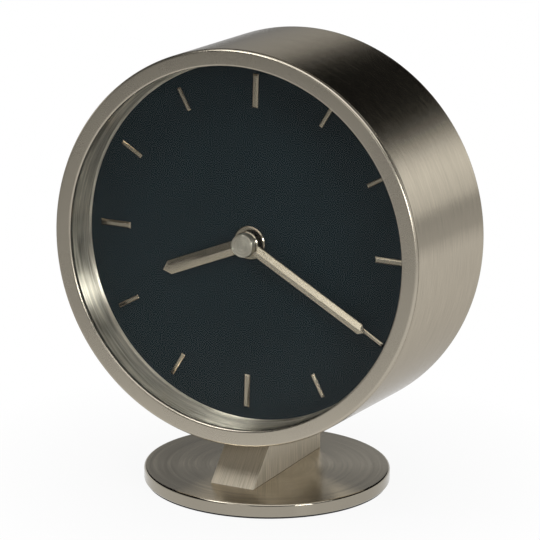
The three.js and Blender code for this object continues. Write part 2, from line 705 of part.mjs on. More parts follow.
function setKnob() {
  const front = movementCoverRear + KNOB_CLEARANCE;
  const shaft = rod(knobCentre, arborRadius, pivotFront, front + KNOB_HEIGHT / 2);
  const grip = rod(knobCentre, KNOB_DIAMETER / 2, front, front + KNOB_HEIGHT, KNOB_RIDGES * 2);
  const grooves = Array.from({ length: KNOB_RIDGES }, (_, index) => {
    const angle = (index * TURN) / KNOB_RIDGES;
    const place = [Math.cos(angle), Math.sin(angle)].map(
      (share, side) => knobCentre[side] + (share * KNOB_DIAMETER) / 2);
    return rod(place, KNOB_RIDGE_DEPTH, front - SEAT_GAP, front + KNOB_HEIGHT + SEAT_GAP, HEX_SIDES);
  });
  const pinion = wheelIn(CANNON_LAYER, knobCentre, KNOB_TEETH, MOTION_MODULE, knobPhase);
  return join(cut(grip, ...grooves), shaft, pinion);
}

function centreWheel() {
  const wheel = wheelIn(CENTRE_LAYER, axis, CENTRE_TEETH, TRAIN_MODULE, 0);
  const front = layerFront(CENTRE_LAYER);
  return cut(wheel, rod(axis, minuteArborRadius + SHAFT_GAP, front - TRIM_STOCK, front + TRIM_STOCK));
}

// A wheel of the going train in one layer, with its pinion in the layer before
const trainWheel = (layer, centre, teeth, wheelModule, pinionPhase) => join(
  arbor(centre),
  pinionIn(layer - 1, centre, TRAIN_LEAVES, TRAIN_MODULE, pinionPhase),
  wheelIn(layer, centre, teeth, wheelModule, 0));

const thirdWheel = () => trainWheel(THIRD_LAYER, thirdCentre, THIRD_TEETH, TRAIN_MODULE, thirdPhase);

const secondWheel = () => trainWheel(SECOND_LAYER, secondCentre, SECOND_TEETH, TRAIN_MODULE, secondPhase);

const intermediateWheel = () => trainWheel(
  INTERMEDIATE_LAYER, intermediateCentre, INTERMEDIATE_TEETH, ROTOR_MODULE, intermediatePhase);

// Stepping motor and electronics

const rotorFront = statorFront + (STATOR_THICKNESS - ROTOR_LENGTH) / 2;
const rotorBore = arborRadius + SHAFT_GAP;

function rotorMagnet() {
  const ring = tube(rotorBore, ROTOR_DIAMETER / 2, rotorFront, rotorFront + ROTOR_LENGTH, HUB_SIDES);
  return ring.translate(rotorCentre[0], 0, rotorCentre[1]);
}

const rotorPinion = () => join(
  arbor(rotorCentre), pinionIn(INTERMEDIATE_LAYER, rotorCentre, TRAIN_LEAVES, ROTOR_MODULE, rotorPhase));

function stator() {
  const [x, z] = rotorCentre;
  const bore = ROTOR_DIAMETER / 2 + ROTOR_AIR_GAP;
  const halfWidth = bore + STATOR_WALL;
  const thickness = [statorFront, statorRear];
  const body = block([x - halfWidth, x + halfWidth], thickness, [z - statorReach, z + statorReach]);
  const arms = [-1, 1].map((side) => {
    const middle = z + side * statorReach;
    return block([coilX - armHalf, x + halfWidth], thickness, [middle - armHalf, middle + armHalf]);
  });
  const hole = rod(rotorCentre, bore, statorFront - TRIM_STOCK, statorRear + TRIM_STOCK, HUB_SIDES);
  return cut(join(body, ...arms), hole);
}

function coilCore() {
  const [low, high] = [-1, 1].map((side) => rotorCentre[1] + side * (statorReach + armHalf));
  const width = [coilX - CORE_WIDTH / 2, coilX + CORE_WIDTH / 2];
  return block(width, [coreFront, coreFront + CORE_THICKNESS], [low, high]);
}

// Turns a piece of the coil, made about y with its middle at y = 0, to lie along z
function alongCoil(geometry) {
  geometry.rotateX(Math.PI / 2);
  return geometry.translate(coilX, coreMiddle, rotorCentre[1]);
}

const bobbinHalf = statorReach - armHalf;

function coilBobbin() {
  return alongCoil(turnedRing([
    [bobbinBore, -bobbinHalf],
    [coilRadius, -bobbinHalf],
    [coilRadius, BOBBIN_WALL - bobbinHalf],
    [bobbinRadius, BOBBIN_WALL - bobbinHalf],
    [bobbinRadius, bobbinHalf - BOBBIN_WALL],
    [coilRadius, bobbinHalf - BOBBIN_WALL],
    [coilRadius, bobbinHalf],
    [bobbinBore, bobbinHalf],
  ], HUB_SIDES));
}

function coilWinding() {
  const half = bobbinHalf - BOBBIN_WALL - SHAFT_GAP;
  return alongCoil(tube(windingBore, coilRadius - SHAFT_GAP, -half, half, HUB_SIDES));
}

const circuitBoard = () => block([boardLeft, boardRight], [boardFront, boardRear], [boardBottom, boardTop]);

function timingChip() {
  const front = boardRear + SHAFT_GAP;
  const left = boardLeft + SEAT_GAP;
  const bottom = boardBottom + SEAT_GAP;
  return block([left, left + CHIP_SIDE], [front, front + CHIP_HEIGHT], [bottom, bottom + CHIP_SIDE]);
}

function crystalCan() {
  const radius = CRYSTAL_DIAMETER / 2;
  const can = new THREE.CylinderGeometry(radius, radius, CRYSTAL_LENGTH, SMALL_SIDES);
  can.rotateZ(Math.PI / 2);
  const x = boardRight - SEAT_GAP - CRYSTAL_LENGTH / 2;
  return can.translate(x, boardRear + SHAFT_GAP + radius, (boardBottom + boardTop) / 2);
}

// A battery along x, its button to the right
function battery() {
  const button = BATTERY_BUTTON_DIAMETER / 2;
  const shoulder = BATTERY_LENGTH / 2 - BATTERY_BUTTON_HEIGHT;
  const cell = turned([
    [0, -BATTERY_LENGTH / 2],
    [batteryRadius, -BATTERY_LENGTH / 2],
    [batteryRadius, shoulder],
    [button, shoulder],
    [button, BATTERY_LENGTH / 2],
    [0, BATTERY_LENGTH / 2],
  ], HUB_SIDES);
  cell.rotateZ(-Math.PI / 2);
  return cell.translate(0, batteryDepth, batteryHeight);
}

// A contact plate on one end wall of the bay, with a tongue towards the battery
function contact(side) {
  const wallFace = chamberHalf - SEAT_GAP;
  const plateFace = wallFace - CONTACT_THICKNESS;
  const tongueFace = BATTERY_LENGTH / 2 + SEAT_GAP;
  const square = (half) => [batteryDepth, batteryHeight].map((middle) => [middle - half, middle + half]);
  const back = block([plateFace, wallFace], ...square(CONTACT_SIDE / 2));
  const tongue = block([tongueFace, wallFace], ...square(CONTACT_TONGUE / 2));
  const onRight = join(back, tongue);
  return side > 0 ? onRight : onRight.rotateZ(Math.PI).translate(0, 2 * batteryDepth, 0);
}

// Foot and stem, in the part's own frame

function basePlate() {
  const radius = BASE_DIAMETER / 2;
  const disc = turned([
    [0, PAD_THICKNESS],
    [radius - BASE_ROUND, PAD_THICKNESS],
    [radius, PAD_THICKNESS + BASE_ROUND],
    ...quarterRound(radius - BASE_ROUND, baseTop - BASE_ROUND, BASE_ROUND, 0, 90),
    [0, baseTop],
  ], CASE_SIDES);
  return cut(disc.rotateX(Math.PI / 2), ...baseScrewPlaces.map((y) => baseScrewShape(y, SHAFT_GAP)));
}

function basePad() {
  const radius = BASE_DIAMETER / 2 - PAD_INSET;
  const section = [[0, 0], [radius, 0], [radius, PAD_THICKNESS], [0, PAD_THICKNESS]];
  return turned(section, CASE_SIDES).rotateX(Math.PI / 2);
}

const firstBaseScrew = stemFront + BASE_SCREW_INSET;
const baseScrewPlaces = [firstBaseScrew, firstBaseScrew + BASE_SCREW_SPACING];

// A countersunk screw standing in the foot, or with a clearance the hole for it
function baseScrewShape(y, clearance) {
  const headRadius = SCREW_HEAD_DIAMETER / 2 + clearance;
  const shank = SCREW_DIAMETER / 2 + clearance;
  const bottom = PAD_THICKNESS + SHAFT_GAP - 2 * clearance;
  const rim = PAD_THICKNESS + SHAFT_GAP + COUNTERSINK_RIM + clearance;
  const neck = rim + COUNTERSINK_HEIGHT;
  const top = baseTop + SCREW_GRIP + clearance;
  const section =
    [[0, bottom], [headRadius, bottom], [headRadius, rim], [shank, neck], [shank, top], [0, top]];
  return turned(section, SMALL_SIDES).rotateX(Math.PI / 2).translate(0, y, 0);
}

function stem() {
  const top = baseTop + STEM_RISE + TRIM_STOCK;
  const lean = (top - baseTop) * Math.tan(radians(STEM_LEAN));
  const side = new THREE.Shape([
    new THREE.Vector2(stemFront, baseTop),
    new THREE.Vector2(stemRear, baseTop),
    new THREE.Vector2(stemRear, top),
    new THREE.Vector2(stemFront + lean, top),
  ]);
  const stock = new THREE.ExtrudeGeometry(side, { depth: STEM_WIDTH, bevelEnabled: false });
  const toPart = new THREE.Matrix4().makeBasis(
    new THREE.Vector3(0, 1, 0), new THREE.Vector3(0, 0, 1), new THREE.Vector3(1, 0, 0));
  stock.applyMatrix4(toPart).translate(-STEM_WIDTH / 2, 0, 0);
  const saddle = turned([
    [0, -CASE_DEPTH],
    [caseRadius + SEAT_GAP, -CASE_DEPTH],
    [caseRadius + SEAT_GAP, 2 * CASE_DEPTH],
    [0, 2 * CASE_DEPTH],
  ], CASE_SIDES);
  const fromHead = [saddle, ...stemScrewHoles()].map((tool) => tool.applyMatrix4(head.matrixWorld));
  return cut(stock, ...fromHead, ...baseScrewPlaces.map((y) => baseScrewShape(y, SHAFT_GAP)));
}

// The clock

const clock = new THREE.Group();
clock.add(head);

addPiece(clock, "base_pad", basePad(), "rubber");
addPiece(clock, "base_plate", basePlate(), "brushed");
addPiece(clock, "stem", stem(), "nickel");
baseScrewPlaces.forEach((y, index) => {
  addPiece(clock, `base_screw_${index + 1}`, baseScrewShape(y, 0), "steel");
});

addPiece(head, "bezel", bezel(), "nickel");
addPiece(head, "lens_gasket", lensGasket(), "rubber");
addPiece(head, "lens", lens(), "glass");
addPiece(head, "reflector_ring", reflectorRing(), "brushed");
addPiece(head, "case_band", caseBand(), "nickel");
addPiece(head, "dial_seat", dialSeat(), "steel");
addPiece(head, "cover_ledge", coverLedge(), "steel");
addPiece(head, "dial", tube(bushingRadius + SEAT_GAP, insertRadius, dialFront, dialRear, CASE_SIDES), "dial");
for (let index = 0; index < MARKER_COUNT; index += 1) {
  addPiece(head, `hour_marker_${index === 0 ? MARKER_COUNT : index}`, hourMarker(index), "nickel");
}
addPiece(head, "rear_cover", rearCover(), "blackPlastic");
rearScrewPlaces.forEach((place, index) => {
  addPiece(head, `rear_cover_screw_${index + 1}`, rearScrew(place), "steel");
});
stemScrewDepths.forEach((depth, index) => {
  addPiece(head, `stem_screw_${index + 1}`, stemScrew(depth), "steel");
});

addPiece(head, "fixing_nut", fixingNut(), "brass");
addPiece(head, "hour_hand", hourHand(), "nickel");
addPiece(head, "minute_hand", minuteHand(), "nickel");
addPiece(head, "hand_cap", handCap(), "nickel");

addPiece(head, "dial_washer", dialWasher(), "rubber");
addPiece(head, "movement_housing", movementHousing(), "blackPlastic");
addPiece(head, "movement_cover", movementCover(), "blackPlastic");
addPiece(head, "minute_arbor", minuteArbor(), "brass");
addPiece(head, "hour_wheel", hourWheel(), "whitePlastic");
addPiece(head, "transmission_wheel", transmissionWheel(), "whitePlastic");
addPiece(head, "set_knob", setKnob(), "blackPlastic");
addPiece(head, "centre_wheel", centreWheel(), "whitePlastic");
addPiece(head, "third_wheel", thirdWheel(), "whitePlastic");
addPiece(head, "second_wheel", secondWheel(), "whitePlastic");
addPiece(head, "intermediate_wheel", intermediateWheel(), "whitePlastic");
addPiece(head, "rotor_magnet", rotorMagnet(), "steel");
addPiece(head, "rotor_pinion", rotorPinion(), "whitePlastic");
addPiece(head, "stator", stator(), "steel");
addPiece(head, "coil_core", coilCore(), "steel");
addPiece(head, "coil_bobbin", coilBobbin(), "whitePlastic");
addPiece(head, "coil_winding", coilWinding(), "copper");
addPiece(head, "circuit_board", circuitBoard(), "board");
addPiece(head, "timing_chip", timingChip(), "blackPlastic");
addPiece(head, "crystal_can", crystalCan(), "steel");
addPiece(head, "battery", battery(), "cell");
addPiece(head, "contact_positive", contact(1), "steel");
addPiece(head, "contact_negative", contact(-1), "steel");

export default clock;
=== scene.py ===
"""Tabletop clock: the looks of a round nickel clock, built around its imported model."""

import json
import math

import bmesh
import bpy
from bpy.props import FloatProperty, FloatVectorProperty, PointerProperty
from mathutils import Matrix, Vector


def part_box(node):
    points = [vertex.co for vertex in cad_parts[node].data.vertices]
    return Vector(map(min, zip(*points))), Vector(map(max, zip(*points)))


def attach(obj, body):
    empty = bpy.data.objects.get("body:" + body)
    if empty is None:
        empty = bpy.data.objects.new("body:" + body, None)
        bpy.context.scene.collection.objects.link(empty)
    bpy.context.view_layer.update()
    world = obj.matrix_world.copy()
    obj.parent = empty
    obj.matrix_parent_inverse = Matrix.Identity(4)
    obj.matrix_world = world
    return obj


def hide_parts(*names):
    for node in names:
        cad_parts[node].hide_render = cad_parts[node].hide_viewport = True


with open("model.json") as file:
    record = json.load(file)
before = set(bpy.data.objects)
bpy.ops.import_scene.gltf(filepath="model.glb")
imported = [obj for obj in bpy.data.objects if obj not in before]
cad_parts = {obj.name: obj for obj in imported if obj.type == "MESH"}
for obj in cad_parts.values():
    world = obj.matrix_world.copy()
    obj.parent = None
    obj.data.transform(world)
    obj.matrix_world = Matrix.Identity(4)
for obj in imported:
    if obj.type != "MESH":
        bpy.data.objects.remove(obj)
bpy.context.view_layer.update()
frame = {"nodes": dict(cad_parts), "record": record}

bl_info = {
    "name": "Tabletop Clock",
    "version": (1, 0, 0),
    "blender": (4, 5, 0),
    "location": "3D View > Sidebar > Clock",
    "description": "Models a round nickel tabletop clock over its packed frame",
    "category": "Add Mesh",
}

MM = 0.001
FIXED_BODY = "clock_body"
FULL_TURN = 2 * math.pi
QUARTER_TURN = math.pi / 2
CASE_STEPS = 224  # facets of what is turned to the case's size
HUB_STEPS = 72
SMALL_STEPS = 28
SHARP_ANGLE = math.radians(32)
MERGE_DISTANCE = 1e-7
TOOTH_TURN = 0.15  # turn of a toothed ring, as a share of the step between its corners
FIT_GAP = 0.3 * MM  # between pieces that sit next to each other
SPARE = 2 * MM  # how far a cut reaches past what it cuts
NEAR = 0.02 * MM  # how near two measures count as the same
TOUCH = 0.1 * MM  # how near a point counts as on a face
RIM_REACH = 0.5 * MM  # how near a point counts as on a rim


# Settings


def length(name, default, description):
    """A length setting, from a default in millimetres."""
    return FloatProperty(
        name=name,
        description=description,
        default=default * MM,
        min=0.0,
        precision=4,
        unit="LENGTH",
        subtype="DISTANCE",
    )


def angle(name, default, description):
    """An angle setting, from a default in degrees."""
    return FloatProperty(
        name=name,
        description=description,
        default=math.radians(default),
        unit="ROTATION",
        subtype="ANGLE",
    )


def colour(name, default, description):
    return FloatVectorProperty(
        name=name, description=description, default=default, min=0.0, max=1.0, size=3, subtype="COLOR"
    )


def power(name, default, description):
    return FloatProperty(name=name, description=description, default=default, min=0.0, unit="POWER")


class ClockCaseSizes(bpy.types.PropertyGroup):
    """Sizes of the round case. Depths are counted from the bezel's front."""

    radius: length("Case radius", 70, "Outside of the band and the bezel")
    depth: length("Case depth", 57.7, "From the bezel's front to the band's rear edge")
    tilt: angle("Tilt", 2.6, "How far the case leans back")
    bore: length("Band bore", 68, "Inside radius of the band")
    insert: length("Insert radius", 67.7, "Radius of the discs that fit inside the band")
    opening: length("Opening", 64.1, "Radius of the dial that shows")
    edge_round: length("Edge round", 1.0, "Round on the outer edges of the bezel and the band")
    lip: length("Bezel lip", 1.6, "Thickness of the bezel's face")
    lip_round: length("Inner round", 0.8, "Round on the inner edge of the bezel")
    band_front: length("Band front", 1.9, "Depth of the band's front edge")
    lens_radius: length("Lens radius", 66, "Radius of the lens and the reflector's wall")
    lens_front: length("Lens front", 2.8, "Depth of the lens's front face")
    lens_rear: length("Lens rear", 4.8, "Depth of the lens's rear face")
    dial_front: length("Dial front", 15.8, "Depth of the dial's face")
    dial_thickness: length("Dial thickness", 1.0, "Thickness of the dial")
    cover_rear: length("Rear cover", 54.7, "Depth of the rear cover's outer face")
    cover_thickness: length("Cover thickness", 2.0, "Thickness of the rear cover")
    window: length("Window", 68, "Width and height of the rear window")
    window_corner: length("Window corner", 8, "Corner radius of the rear window")


class ClockDialSizes(bpy.types.PropertyGroup):
    """Sizes of the hour markers and the hands."""

    marker_length: length("Marker length", 9, "Length of an hour marker")
    marker_width: length("Marker width", 1.6, "Width of an hour marker")
    marker_height: length("Marker height", 0.7, "How far a marker stands off the dial")
    marker_end: length("Marker end", 59.6, "Radius of a marker's outer end")
    quarter_length: length("Quarter length", 12, "Length of the markers at the quarters")
    quarter_width: length("Quarter width", 2.4, "Width of the markers at the quarters")
    hour_angle: angle("Hour angle", 247.5, "Turn of the hour hand, clockwise from the top")
    minute_angle: angle("Minute angle", 118.8, "Turn of the minute hand, clockwise from the top")
    hour_length: length("Hour hand", 36.5, "Length of the hour hand from the axis")
    hour_width: length("Hour width", 5.2, "Width of the hour hand")
    hour_point: length("Hour point", 3.0, "Length of the hour hand's point")
    hour_hub: length("Hour hub", 6.0, "Radius of the hour hand's hub")
    hour_rear: length("Hour depth", 14.4, "Depth of the hour hand's rear face")
    hour_bore: length("Hour bore", 2.35, "Radius of the hole in the hour hand")
    minute_length: length("Minute hand", 52.8, "Length of the minute hand from the axis")
    minute_width: length("Minute width", 4.2, "Width of the minute hand")
    minute_point: length("Minute point", 2.2, "Length of the minute hand's point")
    minute_hub: length("Minute hub", 4.5, "Radius of the minute hand's hub")
    minute_rear: length("Minute depth", 12.1, "Depth of the minute hand's rear face")
    minute_bore: length("Minute bore", 1.15, "Radius of the hole in the minute hand")
    hub_thickness: length("Hub thickness", 0.7, "Thickness of both hubs")
    blade_edge: length("Blade edge", 0.25, "Thickness of a hand at its edges")
    blade_ridge: length("Blade ridge", 0.9, "Thickness of a hand at its ridge")
    cap_radius: length("Cap radius", 4.1, "Radius of the cap on the hands")
    cap_front: length("Cap front", 8.2, "Depth of the cap's face")
    cap_rear: length("Cap rear", 11.1, "Depth of the cap's rear")
    cap_crown: length("Cap crown", 1.0, "Metal in front of the cap's bore")


class ClockFootSizes(bpy.types.PropertyGroup):
    """Sizes of the foot and the stem."""

    radius: length("Foot radius", 44.0, "Radius of the foot")
    thickness: length("Foot thickness", 4.8, "Thickness of the metal disc")
    edge_round: length("Foot round", 0.8, "Round on the foot's edges")
    pad: length("Pad thickness", 0.6, "Thickness of the pad under the foot")
    pad_inset: length("Pad inset", 0.8, "From the foot's edge to the pad's")
    stem_width: length("Stem width", 17, "Width of the stem")
    stem_length: length("Stem length", 54, "Length of the stem along the foot")
    stem_rise: length("Stem rise", 15.1, "From the foot to the case, under the case's middle")
    stem_lean: angle("Stem lean", 44, "How far the stem's front leans back")
    stem_overhang: length("Stem overhang", 0.6, "How far the stem stands behind the case")
    seat_gap: length("Seat gap", 0.3, "Gap between the stem's saddle and the case")


class ClockMovementSizes(bpy.types.PropertyGroup):
    """Sizes of the quartz movement. Depths are counted from the bezel's front."""

    half_width: length("Half width", 28, "From the hand axis to the housing's side")
    top: length("Top", 26.704, "From the hand axis up to the housing's top")
    bottom: length("Bottom", 27.075, "From the hand axis down to the housing's bottom")
    wall: length("Wall", 1.2, "Thickness of the housing's walls")
    corner: length("Corner", 3.0, "Corner radius of the housing")
    front: length("Front", 18.4, "Depth of the housing's front")
    rear: length("Rear", 32.3, "Depth of the housing's rear edge")
    bay_top: length("Bay top", 11.075, "From the hand axis down to the battery bay")
    cover_front: length("Cover front", 32.6, "Depth of the movement cover's front")
    cover_thickness: length("Cover thickness", 1.2, "Thickness of the movement cover")
    bushing: length("Bushing", 3.6, "Radius of the threaded bushing")
    bushing_front: length("Bushing front", 14.7, "Depth of the bushing's front")
    knob_radius: length("Knob radius", 5.5, "Radius of the setting knob")
    knob_front: length("Knob front", 34.4, "Depth of the knob's front face")
    knob_height: length("Knob height", 5.0, "Height of the knob")
    battery_radius: length("Battery radius", 7.1, "Radius of the battery")
    battery_length: length("Battery length", 50.2, "Length of the battery with its button")


class ClockFinishes(bpy.types.PropertyGroup):
    """Colours of the clock's finishes."""

    nickel: colour("Nickel", (0.5, 0.453, 0.37), "Satin and brushed nickel of the case, the foot and the cap")
    hands: colour("Hands", (0.335, 0.286, 0.216), "Satin nickel of the hands and the markers")
    dial: colour("Dial", (0.0101, 0.0184, 0.0222), "Satin paint of the dial")
    rubber: colour("Rubber", (0.012, 0.012, 0.013), "Gasket, washer and foot pad")
    black_plastic: colour("Black plastic", (0.014, 0.014, 0.015), "Rear cover, movement case and knob")
    white_plastic: colour("White plastic", (0.69, 0.67, 0.6), "Wheels of the movement")
    brass: colour("Brass", (0.6, 0.41, 0.15), "Arbor and fixing nut")
    steel: colour("Steel", (0.5, 0.5, 0.49), "Screws, rings and contacts")
    copper: colour("Copper", (0.5, 0.18, 0.07), "Winding of the coil")
    board: colour("Board", (0.03, 0.1, 0.045), "Circuit board")
    cell: colour("Cell", (0.035, 0.075, 0.13), "Sleeve of the battery")
    floor: colour("Floor", (0.45, 0.45, 0.445), "Floor of the studio")


class ClockStage(bpy.types.PropertyGroup):
    """Camera and light of the studio."""

    azimuth: angle("Azimuth", 26.39, "Direction of the camera, round from the front")
    elevation: angle("Elevation", 15.75, "Height of the camera over the horizon")
    roll: angle("Roll", 0.5, "Turn of the camera about its own axis")
    distance: length("Distance", 1294.84, "From the camera to what it looks at")
    aim: FloatVectorProperty(
        name="Aim",
        description="Point that the camera looks at",
        default=(1.243 * MM, -1.527 * MM, 78.2 * MM),
        size=3,
        unit="LENGTH",
        subtype="XYZ",
    )
    focal_length: FloatProperty(
        name="Focal length",
        description="Focal length on a sensor 36 mm wide",
        default=245.0,
        unit="CAMERA",
    )
    floor_radius: length("Floor radius", 3000, "Radius of the floor")
    # The pool is light painted on the floor, seen only in reflections.
    pool_radius: length("Pool radius", 270, "Radius of the bright part of the floor in reflections")
    pool_fade: length("Pool fade", 250, "Width of the fade round the bright part of the floor")
    key_power: power("Key light", 10.5, "Power of the overhead light")
    side_power: power("Side light", 5.6, "Power of the low light at the right")
    upper_power: power("Upper light", 2.0, "Power of the light high at the left")
    front_power: power("Front light", 1.0, "Power of the light at the front")


def settings(group):
    """One group of the scene's settings: case, dial, foot, movement, finishes or stage."""
    return getattr(bpy.context.scene, f"clock_{group}")


def head_matrix():
    """Places what is made in the case's frame: x to the right, y behind the bezel's front, z up."""
    case, foot = settings("case"), settings("foot")
    cosine, sine = math.cos(case.tilt), math.sin(case.tilt)
    middle = foot.pad + foot.thickness + foot.stem_rise + case.radius / cosine
    place = Vector((0.0, -case.depth / 2 * cosine, middle + case.depth / 2 * sine))
    return Matrix.Translation(place) @ Matrix.Rotation(-case.tilt, 4, "X")


# Mesh tools


def turned(section, steps=CASE_STEPS, axis="Y", ring=False):
    """A solid of revolution from (radius, distance along the axis) corners."""
    bm = bmesh.new()
    along_y = axis == "Y"
    verts = [bm.verts.new((r, d, 0.0) if along_y else (r, 0.0, d)) for r, d in section]
    pairs = list(zip(verts, verts[1:]))
    if ring:
        pairs.append((verts[-1], verts[0]))
    edges = [bm.edges.new(pair) for pair in pairs]
    bmesh.ops.spin(
        bm,
        geom=verts + edges,
        cent=(0.0, 0.0, 0.0),
        axis=(0.0, 1.0, 0.0) if along_y else (0.0, 0.0, 1.0),
        angle=FULL_TURN,
        steps=steps,
        use_merge=True,
    )
    bmesh.ops.remove_doubles(bm, verts=bm.verts, dist=MERGE_DISTANCE)
    bmesh.ops.recalc_face_normals(bm, faces=bm.faces)
    return bm


def flat_ring(bore, radius, front, rear):
    """A ring of the case's size."""
    return turned([(bore, front), (radius, front), (radius, rear), (bore, rear)], ring=True)


def cylinder(radius, front, rear, steps, x=0.0, z=0.0, axis="Y"):
    """A rod or a disc."""
    bm = turned([(0.0, front), (radius, front), (radius, rear), (0.0, rear)], steps, axis)
    bmesh.ops.translate(bm, vec=(x, 0.0, z), verts=bm.verts)
    return bm


def bevel(bm, edges, width, segments):
    bmesh.ops.bevel(
        bm,
        geom=edges,
        offset=width,
        offset_type="OFFSET",
        segments=segments,
        profile=0.5,
        affect="EDGES",
        clamp_overlap=True,
        material=-1,
    )


def soften(bm, width, segments=2, where=None):
    """Bevels the sharp edges whose middle passes the test."""
    edges = [
        edge
        for edge in bm.edges
        if edge.is_manifold
        and abs(edge.calc_face_angle()) > SHARP_ANGLE
        and (where is None or where((edge.verts[0].co + edge.verts[1].co) / 2))
    ]
    bevel(bm, edges, width, segments)


def from_axis(point):
    """Distance of a point from the case's axis."""
    return math.hypot(point.x, point.z)


def at_rim(point, radius, within=RIM_REACH):
    return from_axis(point) > radius - within


def near(value, target):
    return abs(value - target) < NEAR


def rotate(bm, turn, axis):
    bmesh.ops.rotate(bm, cent=(0, 0, 0), matrix=Matrix.Rotation(turn, 3, axis), verts=bm.verts)


def extrude(bm, faces, vector):
    """Draws flat faces out into a solid."""
    moved = bmesh.ops.extrude_face_region(bm, geom=faces)["geom"]
    bmesh.ops.translate(bm, vec=vector, verts=[v for v in moved if isinstance(v, bmesh.types.BMVert)])


def box(low, high):
    """A block between two corners."""
    bm = bmesh.new()
    low, high = Vector(low), Vector(high)
    bmesh.ops.create_cube(bm, size=1.0)
    bmesh.ops.scale(bm, vec=high - low, verts=bm.verts)
    bmesh.ops.translate(bm, vec=(low + high) / 2, verts=bm.verts)
    return bm


def rounded_block(half_width, depths, heights, corner, segments):
    """A block with round corners seen along y, as wide to the left as to the right."""
    bm = box((-half_width, depths[0], heights[0]), (half_width, depths[1], heights[1]))
    along_y = [edge for edge in bm.edges if near(from_axis(edge.verts[0].co - edge.verts[1].co), 0.0)]
    bevel(bm, along_y, corner, segments)
    return bm


def polygon_prism(corners, front, rear):
    """An outline of (x, z) corners, given depth along y."""
    bm = bmesh.new()
    face = bm.faces.new([bm.verts.new((x, front, z)) for x, z in corners])
    extrude(bm, [face], (0.0, rear - front, 0.0))
    bmesh.ops.recalc_face_normals(bm, faces=bm.faces)
    return bm


def toothed(teeth, root, tip, front, rear, x, z):
    """A ring of teeth along y, from a circle whose corners are drawn in between the teeth."""
    bm = bmesh.new()
    corners = teeth * 4
    bmesh.ops.create_circle(bm, cap_ends=True, segments=corners, radius=tip)
    ordered = sorted(bm.verts, key=lambda v: math.atan2(v.co.y, v.co.x) % FULL_TURN)
    gaps = [vert for index, vert in enumerate(ordered) if index % 4 in (2, 3)]
    bmesh.ops.scale(bm, vec=(root / tip, root / tip, 1.0), verts=gaps)
    rotate(bm, -TOOTH_TURN * FULL_TURN / corners, "Z")
    extrude(bm, list(bm.faces), (0, 0, rear - front))
    rotate(bm, -QUARTER_TURN, "X")
    bmesh.ops.translate(bm, vec=(x, front, z), verts=bm.verts)
    bmesh.ops.recalc_face_normals(bm, faces=bm.faces)
    return bm


def combined(first, second, operation):
    """An exact boolean of two closed shapes: UNION or DIFFERENCE."""
    objects = []
    for bm in (first, second):
        mesh = bpy.data.meshes.new("stock")
        bm.to_mesh(mesh)
        bm.free()
        stock = bpy.data.objects.new("stock", mesh)
        bpy.context.scene.collection.objects.link(stock)
        objects.append(stock)
    modifier = objects[0].modifiers.new("Cut", "BOOLEAN")
    modifier.object = objects[1]
    modifier.operation = operation
    modifier.solver = "EXACT"
    result = bmesh.new()
    result.from_object(objects[0], bpy.context.evaluated_depsgraph_get())
    for stock in objects:
        bpy.data.meshes.remove(stock.data)
    bmesh.ops.remove_doubles(result, verts=result.verts, dist=MERGE_DISTANCE)
    return result


def joined(first, *others):
    for other in others:
        first = combined(first, other, "UNION")
    return first


def cut(stock, *tools):
    for tool in tools:
        stock = combined(stock, tool, "DIFFERENCE")
    return stock


def add_piece(name, bm, material, body=FIXED_BODY, place=None):
    """Makes the piece for the node of its name, from a shape in the case's frame unless it is placed."""
    bmesh.ops.transform(bm, matrix=head_matrix() if place is None else place, verts=bm.verts)
    mesh = bpy.data.meshes.new(name)
    bm.to_mesh(mesh)
    bm.free()
    mesh.polygons.foreach_set("use_smooth", [True] * len(mesh.polygons))
    mesh.set_sharp_from_angle(angle=SHARP_ANGLE)
    mesh.materials.append(material)
    piece = bpy.data.objects.new(name, mesh)
    bpy.context.scene.collection.objects.link(piece)
    weighted = piece.modifiers.new("Flat Faces", "WEIGHTED_NORMAL")
    weighted.keep_sharp = True
    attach(piece, body)
    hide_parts(name)


# Shader tools


def set_inputs(tree, node, inputs):
    """Links or sets each input that is given."""
    for socket, value in inputs.items():
        if isinstance(value, bpy.types.NodeSocket):
            tree.links.new(value, node.inputs[socket])
        else:
            node.inputs[socket].default_value = value


def add_node(tree, kind, inputs=None, **traits):
    node = tree.nodes.new(f"ShaderNode{kind}")
    for name, value in traits.items():
        setattr(node, name, value)
    set_inputs(tree, node, inputs or {})
    return node


def math_node(tree, operation, first, second=0.0):
    return add_node(tree, "Math", {0: first, 1: second}, operation=operation).outputs[0]


def vector_node(tree, operation, first, second=(0.0, 0.0, 0.0)):
    node = add_node(tree, "VectorMath", {0: first, 1: second}, operation=operation)
    return node.outputs["Value" if operation in ("LENGTH", "DISTANCE") else "Vector"]


def axes(tree, vector):
    """The X, Y and Z of a vector."""
    return add_node(tree, "SeparateXYZ", {0: vector}).outputs


def vector_of(tree, **parts):
    return add_node(tree, "CombineXYZ", parts).outputs[0]


def ranged(tree, value, low, high, from_low=0.0, from_high=1.0):
    """A value moved from one range to another."""
    inputs = {"Value": value, "From Min": from_low, "From Max": from_high, "To Min": low, "To Max": high}
    return add_node(tree, "MapRange", inputs).outputs["Result"]


def blended(tree, first, second, share):
    """Two values mixed by the share of the second."""
    return add_node(tree, "Mix", {0: share, 2: first, 3: second}).outputs[0]


def mixed_colour(tree, share, first, second):
    """Two colours mixed by the share of the second."""
    return add_node(tree, "Mix", {0: share, 6: first, 7: second}, data_type="RGBA").outputs[2]


def shade(rgb, factor):
    return tuple(min(1.0, channel * factor) for channel in rgb) + (1.0,)


def tinted(tree, value, rgb, dark, light):
    """A colour that runs from darker to lighter with a value."""
    return mixed_colour(tree, value, shade(rgb, dark), shade(rgb, light))


def noise(tree, vector, scale=1.0, detail=2.0, roughness=0.5):
    inputs = {"Vector": vector, "Scale": scale, "Detail": detail, "Roughness": roughness}
    return add_node(tree, "TexNoise", inputs).outputs["Fac"]


